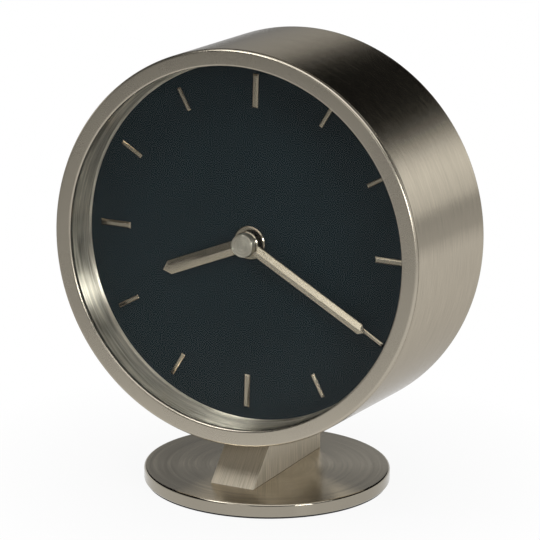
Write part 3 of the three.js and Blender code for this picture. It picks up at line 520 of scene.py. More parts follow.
def once(builder, kind="materials"):
    """Keeps the material or node group that a function makes, so that like pieces share it."""

    def kept():
        made = getattr(bpy.data, kind)
        name = f"clock_{builder.__name__}"
        if name not in made:
            builder(name)
        return made[name]

    return kept


def group_once(builder):
    return once(builder, "node_groups")


def new_group(name, numbers, outputs):
    """An empty node group that takes a vector and some numbers, with what it is given and its output."""
    group = bpy.data.node_groups.new(name, "ShaderNodeTree")
    group.interface.new_socket(name="Vector", in_out="INPUT", socket_type="NodeSocketVector")
    for label, default in numbers.items():
        socket = group.interface.new_socket(name=label, in_out="INPUT", socket_type="NodeSocketFloat")
        socket.default_value = default
    for label in outputs:
        group.interface.new_socket(name=label, in_out="OUTPUT", socket_type="NodeSocketFloat")
    return group, group.nodes.new("NodeGroupInput").outputs, group.nodes.new("NodeGroupOutput")


def put_out_lines(group, result, across_axis, across, along, band_share):
    """Puts out fine lines and wider bands, from coordinates across and along them."""
    for label, share, detail in (("Lines", 1.0, 3.0), ("Bands", band_share, 2.0)):
        vector = vector_of(group, **along, **{across_axis: math_node(group, "MULTIPLY", across, share)})
        value = noise(group, vector, detail=detail, roughness=0.6)
        set_inputs(group, result, {label: ranged(group, value, 0.0, 1.0, 0.28, 0.72)})


@group_once
def turned_lines(name):
    """Lines left by a brush or a lathe tool round the z axis, by radius or along the axis."""
    numbers = {"Line Scale": 3000.0, "Arc Scale": 4.0, "Radial": 0.0}
    group, given, result = new_group(name, numbers, ("Lines", "Bands"))
    parts = axes(group, given["Vector"])
    flat = vector_of(group, X=parts["X"], Y=parts["Y"])
    place = blended(group, parts["Z"], vector_node(group, "LENGTH", flat), given["Radial"])
    across = math_node(group, "MULTIPLY", place, given["Line Scale"])
    unit = axes(group, vector_node(group, "NORMALIZE", flat))
    along = {axis: math_node(group, "MULTIPLY", unit[axis], given["Arc Scale"]) for axis in "XY"}
    put_out_lines(group, result, "Z", across, along, band_share=0.12)


@group_once
def straight_lines(name):
    """Straight brush lines along y, with x across them."""
    group, given, result = new_group(name, {"Across Scale": 3000.0, "Along Scale": 60.0}, ("Lines", "Bands"))
    parts = axes(group, given["Vector"])
    across = math_node(group, "MULTIPLY", parts["X"], given["Across Scale"])
    along = {"Y": math_node(group, "MULTIPLY", parts["Y"], given["Along Scale"])}
    put_out_lines(group, result, "X", across, along, band_share=0.2)


@group_once
def surface_mottle(name):
    """Fine grain and wide clouds of a surface that isn't brushed."""
    numbers = {"Grain Scale": 6000.0, "Cloud Scale": 60.0}
    group, given, result = new_group(name, numbers, ("Grain", "Clouds"))
    for label, scale, detail in (("Grain", "Grain Scale", 2.0), ("Clouds", "Cloud Scale", 3.0)):
        value = noise(group, given["Vector"], given[scale], detail)
        set_inputs(group, result, {label: ranged(group, value, 0.0, 1.0, 0.25, 0.75)})


def object_coordinates(tree):
    return add_node(tree, "TexCoord").outputs["Object"]


def axis_coordinates(tree):
    """Coordinates in the case, with z along its axis."""
    inputs = {
        "Vector": object_coordinates(tree),
        "Location": head_matrix().to_translation(),
        "Rotation": (-(QUARTER_TURN + settings("case").tilt), 0.0, 0.0),
    }
    return add_node(tree, "Mapping", inputs, vector_type="TEXTURE").outputs["Vector"]


def ring_lines(tree, vector, line, arc, radial=0.0):
    inputs = {"Vector": vector, "Line Scale": line, "Arc Scale": arc, "Radial": radial}
    return add_node(tree, "Group", inputs, node_tree=turned_lines()).outputs


def mottled(tree, cloud, grain=6000.0):
    inputs = {"Vector": object_coordinates(tree), "Grain Scale": grain, "Cloud Scale": cloud}
    return add_node(tree, "Group", inputs, node_tree=surface_mottle()).outputs


def show(tree, surface):
    output = next(node for node in tree.nodes if node.type == "OUTPUT_MATERIAL")
    tree.links.new(surface, output.inputs["Surface"])


def show_either(tree, share, first, second):
    """Shows one shader or another, by the share of the second."""
    inputs = {0: share, 1: first.outputs[0], 2: second.outputs[0]}
    show(tree, add_node(tree, "MixShader", inputs).outputs[0])


def new_material(name, **inputs):
    """A material with one Principled shader and its plain values."""
    material = bpy.data.materials.new(name)
    material.use_nodes = True
    tree = material.node_tree
    tree.nodes.clear()
    add_node(tree, "OutputMaterial")
    shader = add_node(tree, "BsdfPrincipled", inputs)
    show(tree, shader.outputs["BSDF"])
    return tree, shader


def finish(tree, shader, value, rgb, tint, rough):
    """Colour and roughness that run with one value over the surface."""
    inputs = {"Base Color": tinted(tree, value, rgb, *tint), "Roughness": ranged(tree, value, *rough)}
    set_inputs(tree, shader, inputs)


def bumped(tree, shader, height, strength, distance):
    bump = add_node(tree, "Bump", {"Height": height, "Strength": strength, "Distance": distance})
    set_inputs(tree, shader, {"Normal": bump.outputs["Normal"]})


# Metal finishes

EDGE_TINT = {"Specular Tint": (0.6, 0.58, 0.55, 1.0)}
LINE_DEPTH = 0.02 * MM


def line_finish(tree, shader, rgb, lines, rough, contrast, strength, band_share=0.4):
    """Colour, roughness and relief of a brushed metal from its lines."""
    value = blended(tree, lines["Lines"], lines["Bands"], band_share)
    finish(tree, shader, value, rgb, tint=(1.0 - contrast, 1.0 + contrast), rough=rough)
    bumped(tree, shader, lines["Lines"], strength, LINE_DEPTH)


def case_axis():
    """Direction of the case's axis."""
    return head_matrix().to_3x3() @ Vector((0.0, 1.0, 0.0))


def brush_round_case(tree, shader):
    """Turns the gloss across lines that run round the case."""
    x, y, z = case_axis()
    set_inputs(tree, shader, {"Tangent": vector_of(tree, X=x, Y=y, Z=z)})


def brush_in_rings(tree, shader, place, axis):
    """Turns the gloss across rings about an axis."""
    away = vector_node(tree, "SUBTRACT", object_coordinates(tree), place)
    outwards = vector_node(tree, "SUBTRACT", away, vector_node(tree, "PROJECT", away, axis))
    set_inputs(tree, shader, {"Tangent": vector_node(tree, "NORMALIZE", outwards)})


@once
def satin_nickel(name):
    """Bezel: fine satin with no direction."""
    tree, shader = new_material(name, Metallic=1.0, **EDGE_TINT)
    mottle = mottled(tree, cloud=45.0)
    value = blended(tree, mottle["Clouds"], mottle["Grain"], 0.35)
    # Its tint stays under 1, so the bezel's nickel is also painted a little darker than the band's, as shade.
    finish(tree, shader, value, settings("finishes").nickel, tint=(0.85, 0.94), rough=(0.25, 0.3))


@once
def band_nickel(name):
    """Band: brushed round the case."""
    tree, shader = new_material(name, Metallic=1.0, Anisotropic=0.6, **EDGE_TINT)
    lines = ring_lines(tree, axis_coordinates(tree), line=4600.0, arc=6.0)
    rgb = settings("finishes").nickel
    line_finish(tree, shader, rgb, lines, rough=(0.09, 0.12), contrast=0.16, strength=0.4, band_share=0.15)
    brush_round_case(tree, shader)


@once
def wall_nickel(name):
    """Reflector wall: coarser brushing round the dial."""
    tree, shader = new_material(name, Metallic=1.0, Anisotropic=1.0)
    lines = ring_lines(tree, axis_coordinates(tree), line=1600.0, arc=3.0)
    rgb = settings("finishes").nickel
    line_finish(tree, shader, rgb, lines, rough=(0.36, 0.46), contrast=0.75, strength=0.2)
    brush_round_case(tree, shader)


@once
def foot_nickel(name):
    """Foot: turned on a lathe, so that its lines are rings, with its rim painted darker as shade and its top
    painted lighter as light.
    """
    tree, shader = new_material(name, Metallic=1.0, Anisotropic=1.0)
    coordinates = add_node(tree, "TexCoord").outputs
    lines = ring_lines(tree, coordinates["Object"], line=900.0, arc=0.7, radial=1.0)
    value = blended(tree, lines["Lines"], lines["Bands"], 0.4)
    top = ranged(tree, axes(tree, coordinates["Normal"])["Z"], 0.0, 1.0, 0.9, 0.99)
    rgb = settings("finishes").nickel
    # Colour by facing: the rim is painted darker than the nickel as shade, and the top is painted lighter as
    # light.
    shaded_rim_colour, lit_top_colour = tinted(tree, value, rgb, 0.58, 0.7), tinted(tree, value, rgb, 0.95, 1.6)
    rim_rough, top_rough = 0.13, ranged(tree, value, 0.15, 0.19)
    inputs = {
        "Base Color": mixed_colour(tree, top, shaded_rim_colour, lit_top_colour),
        "Roughness": blended(tree, rim_rough, top_rough, top),
    }
    set_inputs(tree, shader, inputs)
    bumped(tree, shader, lines["Lines"], 0.06, LINE_DEPTH)
    brush_in_rings(tree, shader, (0.0, 0.0, 0.0), (0.0, 0.0, 1.0))


@once
def stem_nickel(name):
    """Stem: brushed up its slope in front and upright on its sides."""
    tree, shader = new_material(name, Metallic=1.0, Anisotropic=0.2)
    coordinates = add_node(tree, "TexCoord").outputs
    parts = axes(tree, coordinates["Object"])
    sideways = math_node(tree, "ABSOLUTE", axes(tree, coordinates["Normal"])["X"])
    side = math_node(tree, "GREATER_THAN", sideways, 0.5)
    vector = vector_of(tree, X=blended(tree, parts["X"], parts["Y"], side), Y=parts["Z"])
    inputs = {"Vector": vector, "Across Scale": 5200.0, "Along Scale": 70.0}
    lines = add_node(tree, "Group", inputs, node_tree=straight_lines()).outputs
    # The stem's nickel is painted a little lighter than the case's, as light.
    rgb = shade(settings("finishes").nickel, 1.08)[:3]
    line_finish(tree, shader, rgb, lines, rough=(0.6, 0.72), contrast=0.4, strength=0.3, band_share=0.12)
    tangent = vector_of(tree, X=math_node(tree, "SUBTRACT", 1.0, side), Y=side)
    set_inputs(tree, shader, {"Tangent": tangent})


@once
def hand_nickel(name):
    """Hands and markers: satin facets."""
    tree, shader = new_material(name, Metallic=1.0)
    clouds = mottled(tree, cloud=220.0)["Clouds"]
    finish(tree, shader, clouds, settings("finishes").hands, tint=(0.96, 1.06), rough=(0.14, 0.2))


@once
def cap_nickel(name):
    """Cap on the hands: turned, with rings in its face."""
    tree, shader = new_material(name, Metallic=1.0, Anisotropic=0.9)
    lines = ring_lines(tree, axis_coordinates(tree), line=2400.0, arc=0.6, radial=1.0)
    rgb = settings("finishes").nickel
    line_finish(tree, shader, rgb, lines, rough=(0.3, 0.42), contrast=0.3, strength=0.05)
    brush_in_rings(tree, shader, head_matrix().to_translation(), case_axis())


def plated(name, rgb, rough):
    """A plated or turned small metal piece."""
    tree, shader = new_material(name, Metallic=1.0)
    mottle = mottled(tree, cloud=300.0, grain=4000.0)
    value = blended(tree, mottle["Clouds"], mottle["Grain"], 0.5)
    finish(tree, shader, value, rgb, tint=(0.85, 1.1), rough=(rough - 0.06, rough + 0.08))
    bumped(tree, shader, mottle["Grain"], 0.08, LINE_DEPTH)


@once
def plated_steel(name):
    plated(name, settings("finishes").steel, 0.32)


@once
def turned_brass(name):
    plated(name, settings("finishes").brass, 0.28)


@once
def wound_copper(name):
    """Winding: fine turns of enamelled wire side by side."""
    enamel = {"Coat Weight": 0.4, "Coat Roughness": 0.15}
    tree, shader = new_material(name, Metallic=1.0, **enamel)
    inputs = {"Vector": object_coordinates(tree), "Scale": 2200.0, "Distortion": 0.4}
    turns = add_node(tree, "TexWave", inputs, bands_direction="Z").outputs["Fac"]
    # The colour darkens between the turns and lightens on them: painted shade between the wires and a painted
    # sheen on each.
    finish(tree, shader, turns, settings("finishes").copper, tint=(0.5, 1.15), rough=(0.42, 0.24))
    bumped(tree, shader, turns, 0.5, 0.05 * MM)


# Paint, glass, rubber and plastic

DUST = (0.5, 0.5, 0.48, 1.0)
GLASS_TINT = (0.97, 0.99, 0.99)
GLASS_SHADOW = (0.95, 0.97, 0.97, 1.0)
SLEEVE_RING = (0.42, 0.43, 0.44, 1.0)
SLEEVE_RING_START = 0.55  # as a share of the battery's half length
BARE_END = 1.7 * MM


@once
def dial_paint(name):
    """Dial: satin blue-black paint with a few specks."""
    tree, shader = new_material(name, Metallic=0.0, **{"Specular IOR Level": 0.1})
    clouds = mottled(tree, cloud=25.0)["Clouds"]
    paint = tinted(tree, clouds, settings("finishes").dial, 0.92, 1.08)
    inputs = {"Vector": object_coordinates(tree), "Scale": 160.0}
    cells = add_node(tree, "TexVoronoi", inputs).outputs["Distance"]
    specks = ranged(tree, cells, 0.1, 0.0, 0.0, 0.03)
    dusty = mixed_colour(tree, specks, paint, DUST)
    set_inputs(tree, shader, {"Base Color": dusty, "Roughness": ranged(tree, clouds, 0.42, 0.48)})


@once
def lens_glass(name):
    """Lens: clear glass that lets the lamps' light through to the dial."""
    plain = {"Roughness": 0.0, "Transmission Weight": 1.0, "Specular Tint": (0.2, 0.2, 0.2, 1.0)}
    tree, shader = new_material(name, IOR=1.45, **plain)
    clouds = mottled(tree, cloud=30.0)["Clouds"]
    set_inputs(tree, shader, {"Base Color": tinted(tree, clouds, GLASS_TINT, 0.985, 1.0)})
    clear = add_node(tree, "BsdfTransparent", {"Color": GLASS_SHADOW})
    path = add_node(tree, "LightPath").outputs
    straight = math_node(tree, "MAXIMUM", path["Is Shadow Ray"], path["Is Diffuse Ray"])
    show_either(tree, straight, shader, clear)


def moulded(name, rgb, rough, grain, strength):
    """Moulded plastic or rubber with a fine grain and wear in its gloss."""
    tree, shader = new_material(name, Metallic=0.0)
    mottle = mottled(tree, cloud=90.0, grain=grain)
    inputs = {
        "Base Color": tinted(tree, mottle["Clouds"], rgb, 0.85, 1.15),
        "Roughness": ranged(tree, mottle["Grain"], rough - 0.07, rough + 0.08),
    }
    set_inputs(tree, shader, inputs)
    bumped(tree, shader, mottle["Grain"], strength, 0.04 * MM)


@once
def soft_rubber(name):
    moulded(name, settings("finishes").rubber, rough=0.78, grain=2500.0, strength=0.3)


@once
def black_moulding(name):
    moulded(name, settings("finishes").black_plastic, rough=0.48, grain=2200.0, strength=0.35)


@once
def white_moulding(name):
    moulded(name, settings("finishes").white_plastic, rough=0.42, grain=3000.0, strength=0.15)


@once
def circuit_mask(name):
    """Circuit board: green mask with copper tracks showing under it."""
    tree, shader = new_material(name, Metallic=0.0)
    inputs = {"Vector": object_coordinates(tree), "Scale": 700.0, "Randomness": 0.2}
    cells = add_node(tree, "TexVoronoi", inputs, distance="MANHATTAN").outputs["Distance"]
    tracks = ranged(tree, cells, 1.0, 0.0, 0.3, 0.45)
    finish(tree, shader, tracks, settings("finishes").board, tint=(0.7, 1.6), rough=(0.45, 0.33))
    bumped(tree, shader, tracks, 0.3, 0.03 * MM)


@once
def cell_sleeve(name):
    """Battery: a dark sleeve with a paler ring at its positive end, and bare metal ends."""
    colours = settings("finishes")
    half = settings("movement").battery_length / 2
    tree, shader = new_material(name)
    along = axes(tree, axis_coordinates(tree))["X"]
    mottle = mottled(tree, cloud=80.0, grain=3000.0)
    ring = math_node(tree, "GREATER_THAN", along, half * SLEEVE_RING_START)
    bare = math_node(tree, "GREATER_THAN", math_node(tree, "ABSOLUTE", along), half - BARE_END)
    sleeve = mixed_colour(tree, ring, tinted(tree, mottle["Clouds"], colours.cell, 0.9, 1.1), SLEEVE_RING)
    inputs = {
        "Base Color": mixed_colour(tree, bare, sleeve, shade(colours.steel, 1.2)),
        "Metallic": bare,
        "Roughness": ranged(tree, mottle["Grain"], 0.22, 0.34),
    }
    set_inputs(tree, shader, inputs)
    bumped(tree, shader, mottle["Clouds"], 0.06, 0.05 * MM)


# Studio

CLOCK_MIDDLE = (0.0, 0.0, 0.08)
# Each lamp: its name, its power among the settings, its width and height, its place and its aim
LAMPS = (
    ("overhead_light", "key_power", (1.7, 1.1), (0.2, -0.25, 1.05), (0.2, -0.24, 0.0)),
    ("front_light", "front_power", (0.45, 0.3), (0.0, -1.2, 0.45), CLOCK_MIDDLE),
    ("upper_light", "upper_power", (0.3, 0.3), (-0.4, -0.55, 0.95), CLOCK_MIDDLE),
    ("side_light", "side_power", (0.35, 0.2), (1.1, -0.62, 0.46), CLOCK_MIDDLE),
)
# Brightness of the room by degrees over the horizon
ROOM_LEVELS = ((-90, 0.3), (-1, 0.5), (0, 0.76), (4, 0.86), (8, 1.0), (12, 0.92), (15.5, 0.4), (19, 0.01))
ROOM_WARMTH = 0.985
# Two levels, then the two places along x or y that they belong to
ROOM_RIGHT = (0.5, 1.4, -0.55, 0.7)
ROOM_LEFT = (1.3, 0.5, -0.9, -0.55)
ROOM_DEPTH = (0.4, 1.0, -0.5, 0.3)
HORIZON_RISE = (0.022, 0.063, -0.46, -0.39)
HORIZON_FALL = (0.063, 0.0, -0.3, -0.1)
# The painted pool of light on the floor, seen in reflections, dims to these levels far off, from the front to
# the back.
POOL_FAR = (0.18, 0.48, -0.2, 0.4)
SENSOR_WIDTH = 36.0
FLOOR_DROP = 0.05 * MM
# Middle and level of the painted pool of light on the floor.
POOL_MIDDLE = (0.15, 0.1, 0.0)
POOL_LEVEL = 0.87
SHADOW_LEVEL = 0.93  # white of the floor beside the foot, painted a little grey there as shade
SHADOW_REACH = 0.13


def facing(direction):
    """A turn that points a camera or a lamp in a direction."""
    return direction.to_track_quat("-Z", "Y").to_matrix().to_4x4()


@once
def floor_paper(name):
    """Paper that looks white to the camera, and in reflections only near the clock, as a painted pool of
    light that dims further off; beside the foot it is painted a little grey as shade, and it keeps a part of
    the real shadow.
    """
    stage = settings("stage")
    tree, shader = new_material(name, Metallic=0.0, Roughness=0.9)
    place = object_coordinates(tree)
    paper = tinted(tree, noise(tree, place, 3.0), settings("finishes").floor, 0.995, 1.005)
    set_inputs(tree, shader, {"Base Color": paper})
    # A painted pool of light: white near the clock, dimmer further off and towards the front, seen only in
    # reflections.
    from_pool = vector_node(tree, "DISTANCE", place, POOL_MIDDLE)
    far = ranged(tree, axes(tree, place)["Y"], *POOL_FAR)
    pool_end = stage.pool_radius + stage.pool_fade
    pool = ranged(tree, from_pool, POOL_LEVEL, far, stage.pool_radius, pool_end)
    path = add_node(tree, "LightPath").outputs
    bounced = math_node(tree, "MAXIMUM", path["Is Glossy Ray"], path["Is Transmission Ray"])
    # Less white beside the foot paints a faint grey halo of shade there, through which a part of the real
    # shadow shows.
    from_foot = vector_node(tree, "LENGTH", place)
    clear = ranged(tree, from_foot, SHADOW_LEVEL, 1.0, settings("foot").radius, SHADOW_REACH)
    direct = math_node(tree, "MULTIPLY", path["Is Camera Ray"], clear)
    seen = math_node(tree, "MAXIMUM", direct, math_node(tree, "MULTIPLY", bounced, pool))
    white = add_node(tree, "Emission", {"Color": (1.0, 1.0, 1.0, 1.0), "Strength": 1.0})
    show_either(tree, seen, shader, white)


class CLOCK_OT_stage(bpy.types.Operator):
    """Set up the camera, the lights, the pale floor and the world"""

    bl_idname = "clock.stage"
    bl_label = "Studio"

    def execute(self, context):
        stage = context.scene.clock_stage
        self.place_camera(context.scene, stage)
        self.make_floor(context.scene, stage)
        self.make_world(context.scene)
        for name, setting, size, place, aim in LAMPS:
            light = bpy.data.lights.new(name, "AREA")
            light.energy = getattr(stage, setting)
            light.shape = "RECTANGLE"
            light.size, light.size_y = size
            lamp = bpy.data.objects.new(name, light)
            context.scene.collection.objects.link(lamp)
            lamp.matrix_world = Matrix.Translation(place) @ facing(Vector(aim) - Vector(place))
        context.scene.view_settings.view_transform = "Standard"
        return {"FINISHED"}

    def place_camera(self, scene, stage):
        level, height = math.cos(stage.elevation), math.sin(stage.elevation)
        back = Vector((math.sin(stage.azimuth) * level, -math.cos(stage.azimuth) * level, height))
        camera = bpy.data.cameras.new("camera")
        camera.sensor_width = SENSOR_WIDTH
        camera.lens = stage.focal_length
        eye = bpy.data.objects.new("camera", camera)
        scene.collection.objects.link(eye)
        place = Matrix.Translation(Vector(stage.aim) + back * stage.distance)
        eye.matrix_world = place @ facing(-back) @ Matrix.Rotation(stage.roll, 4, "Z")
        scene.camera = eye

    def make_floor(self, scene, stage):
        bm = bmesh.new()
        bmesh.ops.create_circle(bm, cap_ends=True, segments=96, radius=stage.floor_radius)
        bmesh.ops.translate(bm, vec=(0.0, 0.0, -FLOOR_DROP), verts=bm.verts)
        mesh = bpy.data.meshes.new("floor")
        bm.to_mesh(mesh)
        bm.free()
        mesh.materials.append(floor_paper())
        floor = bpy.data.objects.new("floor", mesh)
        scene.collection.objects.link(floor)

    def make_world(self, scene):
        """A bright band at the horizon under a dark ceiling, brighter at the right and behind."""
        world = bpy.data.worlds.new("studio")
        world.use_nodes = True
        tree = world.node_tree
        tree.nodes.clear()
        parts = axes(tree, add_node(tree, "TexCoord").outputs["Generated"])
        x, y = parts["X"], parts["Y"]
        rise, fall = ranged(tree, x, *HORIZON_RISE), ranged(tree, x, *HORIZON_FALL)
        lift = math_node(tree, "MINIMUM", rise, fall)
        height = ranged(tree, math_node(tree, "SUBTRACT", parts["Z"], lift), 0.0, 1.0, -1.0, 1.0)
        ramp = add_node(tree, "ValToRGB", {0: height})
        elements = ramp.color_ramp.elements
        while len(elements) < len(ROOM_LEVELS):
            elements.new(0.5)
        for element, (elevation, level) in zip(elements, ROOM_LEVELS):
            element.position = (math.sin(math.radians(elevation)) + 1.0) / 2.0
            element.color = (level, level, level * ROOM_WARMTH, 1.0)
        right, left = ranged(tree, x, *ROOM_RIGHT), ranged(tree, x, *ROOM_LEFT)
        sides = math_node(tree, "MAXIMUM", right, left)
        strength = math_node(tree, "MULTIPLY", sides, ranged(tree, y, *ROOM_DEPTH))
        inputs = {"Color": ramp.outputs["Color"], "Strength": strength}
        background = add_node(tree, "Background", inputs)
        add_node(tree, "OutputWorld", {"Surface": background.outputs[0]})
        scene.world = world


# Case, dial and hands

BAND_FRONT_ROUND = 0.15 * MM
BEZEL_SKIRT = 5 * MM
BEZEL_REAR_ROUND = 0.12 * MM
LENS_ROUND = 0.25 * MM
GASKET_ROUND = 0.15 * MM
DIAL_ROUND = 0.12 * MM
MARKER_ROUND = 0.05 * MM
BLADE_ROUND = 0.2 * MM
HUB_ROUND = 0.45 * MM
CAP_ROUND = 0.2 * MM
CAP_GROOVE_INSET = 0.6 * MM
CAP_GROOVE_DEPTH = 0.12 * MM


class CLOCK_OT_case_band(bpy.types.Operator):
    """Turn the band that goes round the case"""

    bl_idname = "clock.case_band"
    bl_label = "Case band"

    def execute(self, context):
        case = settings("case")
        middle = case.depth / 2
        bm = flat_ring(case.bore, case.radius, case.band_front, case.depth)
        soften(bm, case.edge_round, 5, lambda p: at_rim(p, case.radius) and p.y > middle)
        soften(bm, BAND_FRONT_ROUND, 2, lambda p: p.y < middle)
        add_piece("case_band", bm, band_nickel())
        return {"FINISHED"}


class CLOCK_OT_bezel(bpy.types.Operator):
    """Turn the bezel with its rounded edges and its skirt"""

    bl_idname = "clock.bezel"
    bl_label = "Bezel"

    def execute(self, context):
        case = settings("case")
        skirt_bore = case.lens_radius + FIT_GAP
        skirt_rear = case.lip + BEZEL_SKIRT
        section = [
            (case.opening, 0.0),
            (case.radius, 0.0),
            (case.radius, case.lip),
            (case.insert, case.lip),
            (case.insert, skirt_rear),
            (skirt_bore, skirt_rear),
            (skirt_bore, case.lip),
            (case.opening, case.lip),
        ]
        bm = turned(section, ring=True)
        soften(bm, case.edge_round, 6, lambda p: p.y < TOUCH and at_rim(p, case.radius))
        soften(bm, case.lip_round, 4, lambda p: p.y < TOUCH and from_axis(p) < case.opening + TOUCH)
        soften(bm, BEZEL_REAR_ROUND, 1, lambda p: near(p.y, case.lip) and at_rim(p, case.radius))
        add_piece("bezel", bm, satin_nickel())
        return {"FINISHED"}


class CLOCK_OT_lens(bpy.types.Operator):
    """Make the lens and the gasket in front of it"""

    bl_idname = "clock.lens"
    bl_label = "Lens and gasket"

    def execute(self, context):
        case = settings("case")
        lens = cylinder(case.lens_radius, case.lens_front, case.lens_rear, CASE_STEPS)
        soften(lens, LENS_ROUND)
        add_piece("lens", lens, lens_glass())
        bore, rear = case.opening + FIT_GAP, case.lens_front - FIT_GAP
        gasket = flat_ring(bore, case.lens_radius, case.band_front, rear)
        soften(gasket, GASKET_ROUND)
        add_piece("lens_gasket", gasket, soft_rubber())
        return {"FINISHED"}


class CLOCK_OT_reflector(bpy.types.Operator):
    """Turn the brushed wall between the lens and the dial"""

    bl_idname = "clock.reflector"
    bl_label = "Reflector ring"

    def execute(self, context):
        case = settings("case")
        flare, edge, flange, step, land = 4 * MM, 0.4 * MM, 2 * MM, 0.6 * MM, 0.2 * MM
        front, rear = case.lens_rear + FIT_GAP, case.dial_front - FIT_GAP
        section = [
            (case.opening, front + flare),
            (case.lens_radius - edge, front),
            (case.lens_radius, front),
            (case.lens_radius, rear - flange),
            (case.insert, rear - flange),
            (case.insert, rear),
            (case.opening - step, rear),
            (case.opening - step, rear - land),
            (case.opening, rear - land - step),
        ]
        wall = turned(section, ring=True)
        add_piece("reflector_ring", wall, wall_nickel())
        return {"FINISHED"}


class CLOCK_OT_dial(bpy.types.Operator):
    """Make the painted dial with the hole for its bushing"""

    bl_idname = "clock.dial"
    bl_label = "Dial"

    def execute(self, context):
        case = settings("case")
        bore = settings("movement").bushing + FIT_GAP
        bm = flat_ring(bore, case.insert, case.dial_front, case.dial_front + case.dial_thickness)
        soften(bm, DIAL_ROUND)
        add_piece("dial", bm, dial_paint())
        return {"FINISHED"}


class CLOCK_OT_hour_markers(bpy.types.Operator):
    """Set a bevelled baton at each hour"""

    bl_idname = "clock.hour_markers"
    bl_label = "Hour markers"

    def execute(self, context):
        dial = settings("dial")
        rear = settings("case").dial_front - FIT_GAP
        front = rear - dial.marker_height
        for hour in range(1, 13):
            quarter = hour % 3 == 0
            size = dial.quarter_length if quarter else dial.marker_length
            half = (dial.quarter_width if quarter else dial.marker_width) / 2
            bm = box((-half, front, dial.marker_end - size), (half, rear, dial.marker_end))
            soften(bm, half / 2, 1, lambda p: p.y < front + TOUCH)
            soften(bm, MARKER_ROUND, 1)
            turn = Matrix.Rotation(hour * FULL_TURN / 12, 4, "Y")
            add_piece(f"hour_marker_{hour}", bm, hand_nickel(), place=head_matrix() @ turn)
        return {"FINISHED"}


def hand_shape(rear, hub, width, reach, point, bore):
    """A pointed blade with a ridge along its middle, on a round hub, pointing up."""
    dial = settings("dial")
    half, shoulder = width / 2, reach - point
    corners = [(-half, 0.0), (half, 0.0), (half, shoulder), (0.0, reach), (-half, shoulder)]
    edge_front = rear - dial.blade_edge
    blade = polygon_prism(corners, edge_front, rear)
    for middle, normal in (((0, 0, 0), (1, 0, 0)), ((0, 0, shoulder), (0, 0, 1))):
        faces = [face for face in blade.faces if face.normal.y < -0.5]
        rest = {part for face in faces for part in (*face.edges, *face.verts)}
        bmesh.ops.bisect_plane(
            blade, geom=[*faces, *rest], dist=MERGE_DISTANCE, plane_co=middle, plane_no=normal
        )
    ridge = [
        vert
        for vert in blade.verts
        if near(vert.co.x, 0.0) and near(vert.co.y, edge_front) and vert.co.z < shoulder + TOUCH
    ]
    bmesh.ops.translate(blade, vec=(0.0, dial.blade_edge - dial.blade_ridge, 0.0), verts=ridge)
    bmesh.ops.recalc_face_normals(blade, faces=blade.faces)
    soften(blade, BLADE_ROUND, 1, lambda p: near(abs(p.x), half) and p.y < edge_front + TOUCH)
    front = rear - dial.hub_thickness
    disc = cylinder(hub, front, rear, HUB_STEPS)
    soften(disc, HUB_ROUND, 1)
    return cut(joined(disc, blade), cylinder(bore, front - SPARE, rear + SPARE, HUB_STEPS))


class CLOCK_OT_hands(bpy.types.Operator):
    """Make the hour hand and the minute hand"""

    bl_idname = "clock.hands"
    bl_label = "Hands"

    def execute(self, context):
        dial = settings("dial")
        for hand in ("hour", "minute"):
            measures = ("rear", "hub", "width", "length", "point", "bore")
            bm = hand_shape(*(getattr(dial, f"{hand}_{measure}") for measure in measures))
            place = head_matrix() @ Matrix.Rotation(getattr(dial, f"{hand}_angle"), 4, "Y")
            add_piece(f"{hand}_hand", bm, hand_nickel(), f"{hand}_set", place)
        return {"FINISHED"}


class CLOCK_OT_hand_cap(bpy.types.Operator):
    """Turn the cap that holds the hands"""

    bl_idname = "clock.hand_cap"
    bl_label = "Hand cap"

    def execute(self, context):
        dial = settings("dial")
        front, crown = dial.cap_front, dial.cap_front + dial.cap_crown
        groove, half = dial.cap_radius - CAP_GROOVE_INSET, CAP_GROOVE_DEPTH
        section = [
            (0.0, front),
            (groove - half, front),
            (groove, front + half),
            (groove + half, front),
            (dial.cap_radius, front),
            (dial.cap_radius, dial.cap_rear),
            (dial.minute_bore, dial.cap_rear),
            (dial.minute_bore, crown),
            (0.0, crown),
        ]
        bm = turned(section, HUB_STEPS)
        soften(bm, CAP_ROUND, 3, lambda p: at_rim(p, dial.cap_radius, TOUCH))
        add_piece("hand_cap", bm, cap_nickel(), "minute_set")
        return {"FINISHED"}


# Foot, stem and screws

ON_FLOOR = Matrix()  # place of a piece that is made where it stands
PAD_ROUND = 0.15 * MM
STEM_ROUND = 0.22 * MM
STEM_SPARE = 6 * MM
SCREW_SHANK = 1.5 * MM
SCREW_HEAD = 2.6 * MM
SCREW_HEIGHT = 1.8 * MM
SCREW_INSET = 3 * MM  # from the cover's edge to the middle of a screw
COVER_SCREW_LENGTH = 5.1 * MM
STEM_SCREW_LENGTH = 9.6 * MM
COVER_SCREW_TURN = 0.4
STEM_SCREW_TURN = 0.7
SMALL_ROUND = 0.3 * MM


class CLOCK_OT_foot(bpy.types.Operator):
    """Turn the disc foot and the pad under it"""

    bl_idname = "clock.foot"
    bl_label = "Foot and pad"

    def execute(self, context):
        foot = settings("foot")
        plate = cylinder(foot.radius, foot.pad, foot.pad + foot.thickness, CASE_STEPS, axis="Z")
        soften(plate, foot.edge_round, 4)
        add_piece("base_plate", plate, foot_nickel(), place=ON_FLOOR)
        pad = cylinder(foot.radius - foot.pad_inset, 0.0, foot.pad, CASE_STEPS, axis="Z")
        soften(pad, PAD_ROUND)
        add_piece("base_pad", pad, soft_rubber(), place=ON_FLOOR)
        return {"FINISHED"}


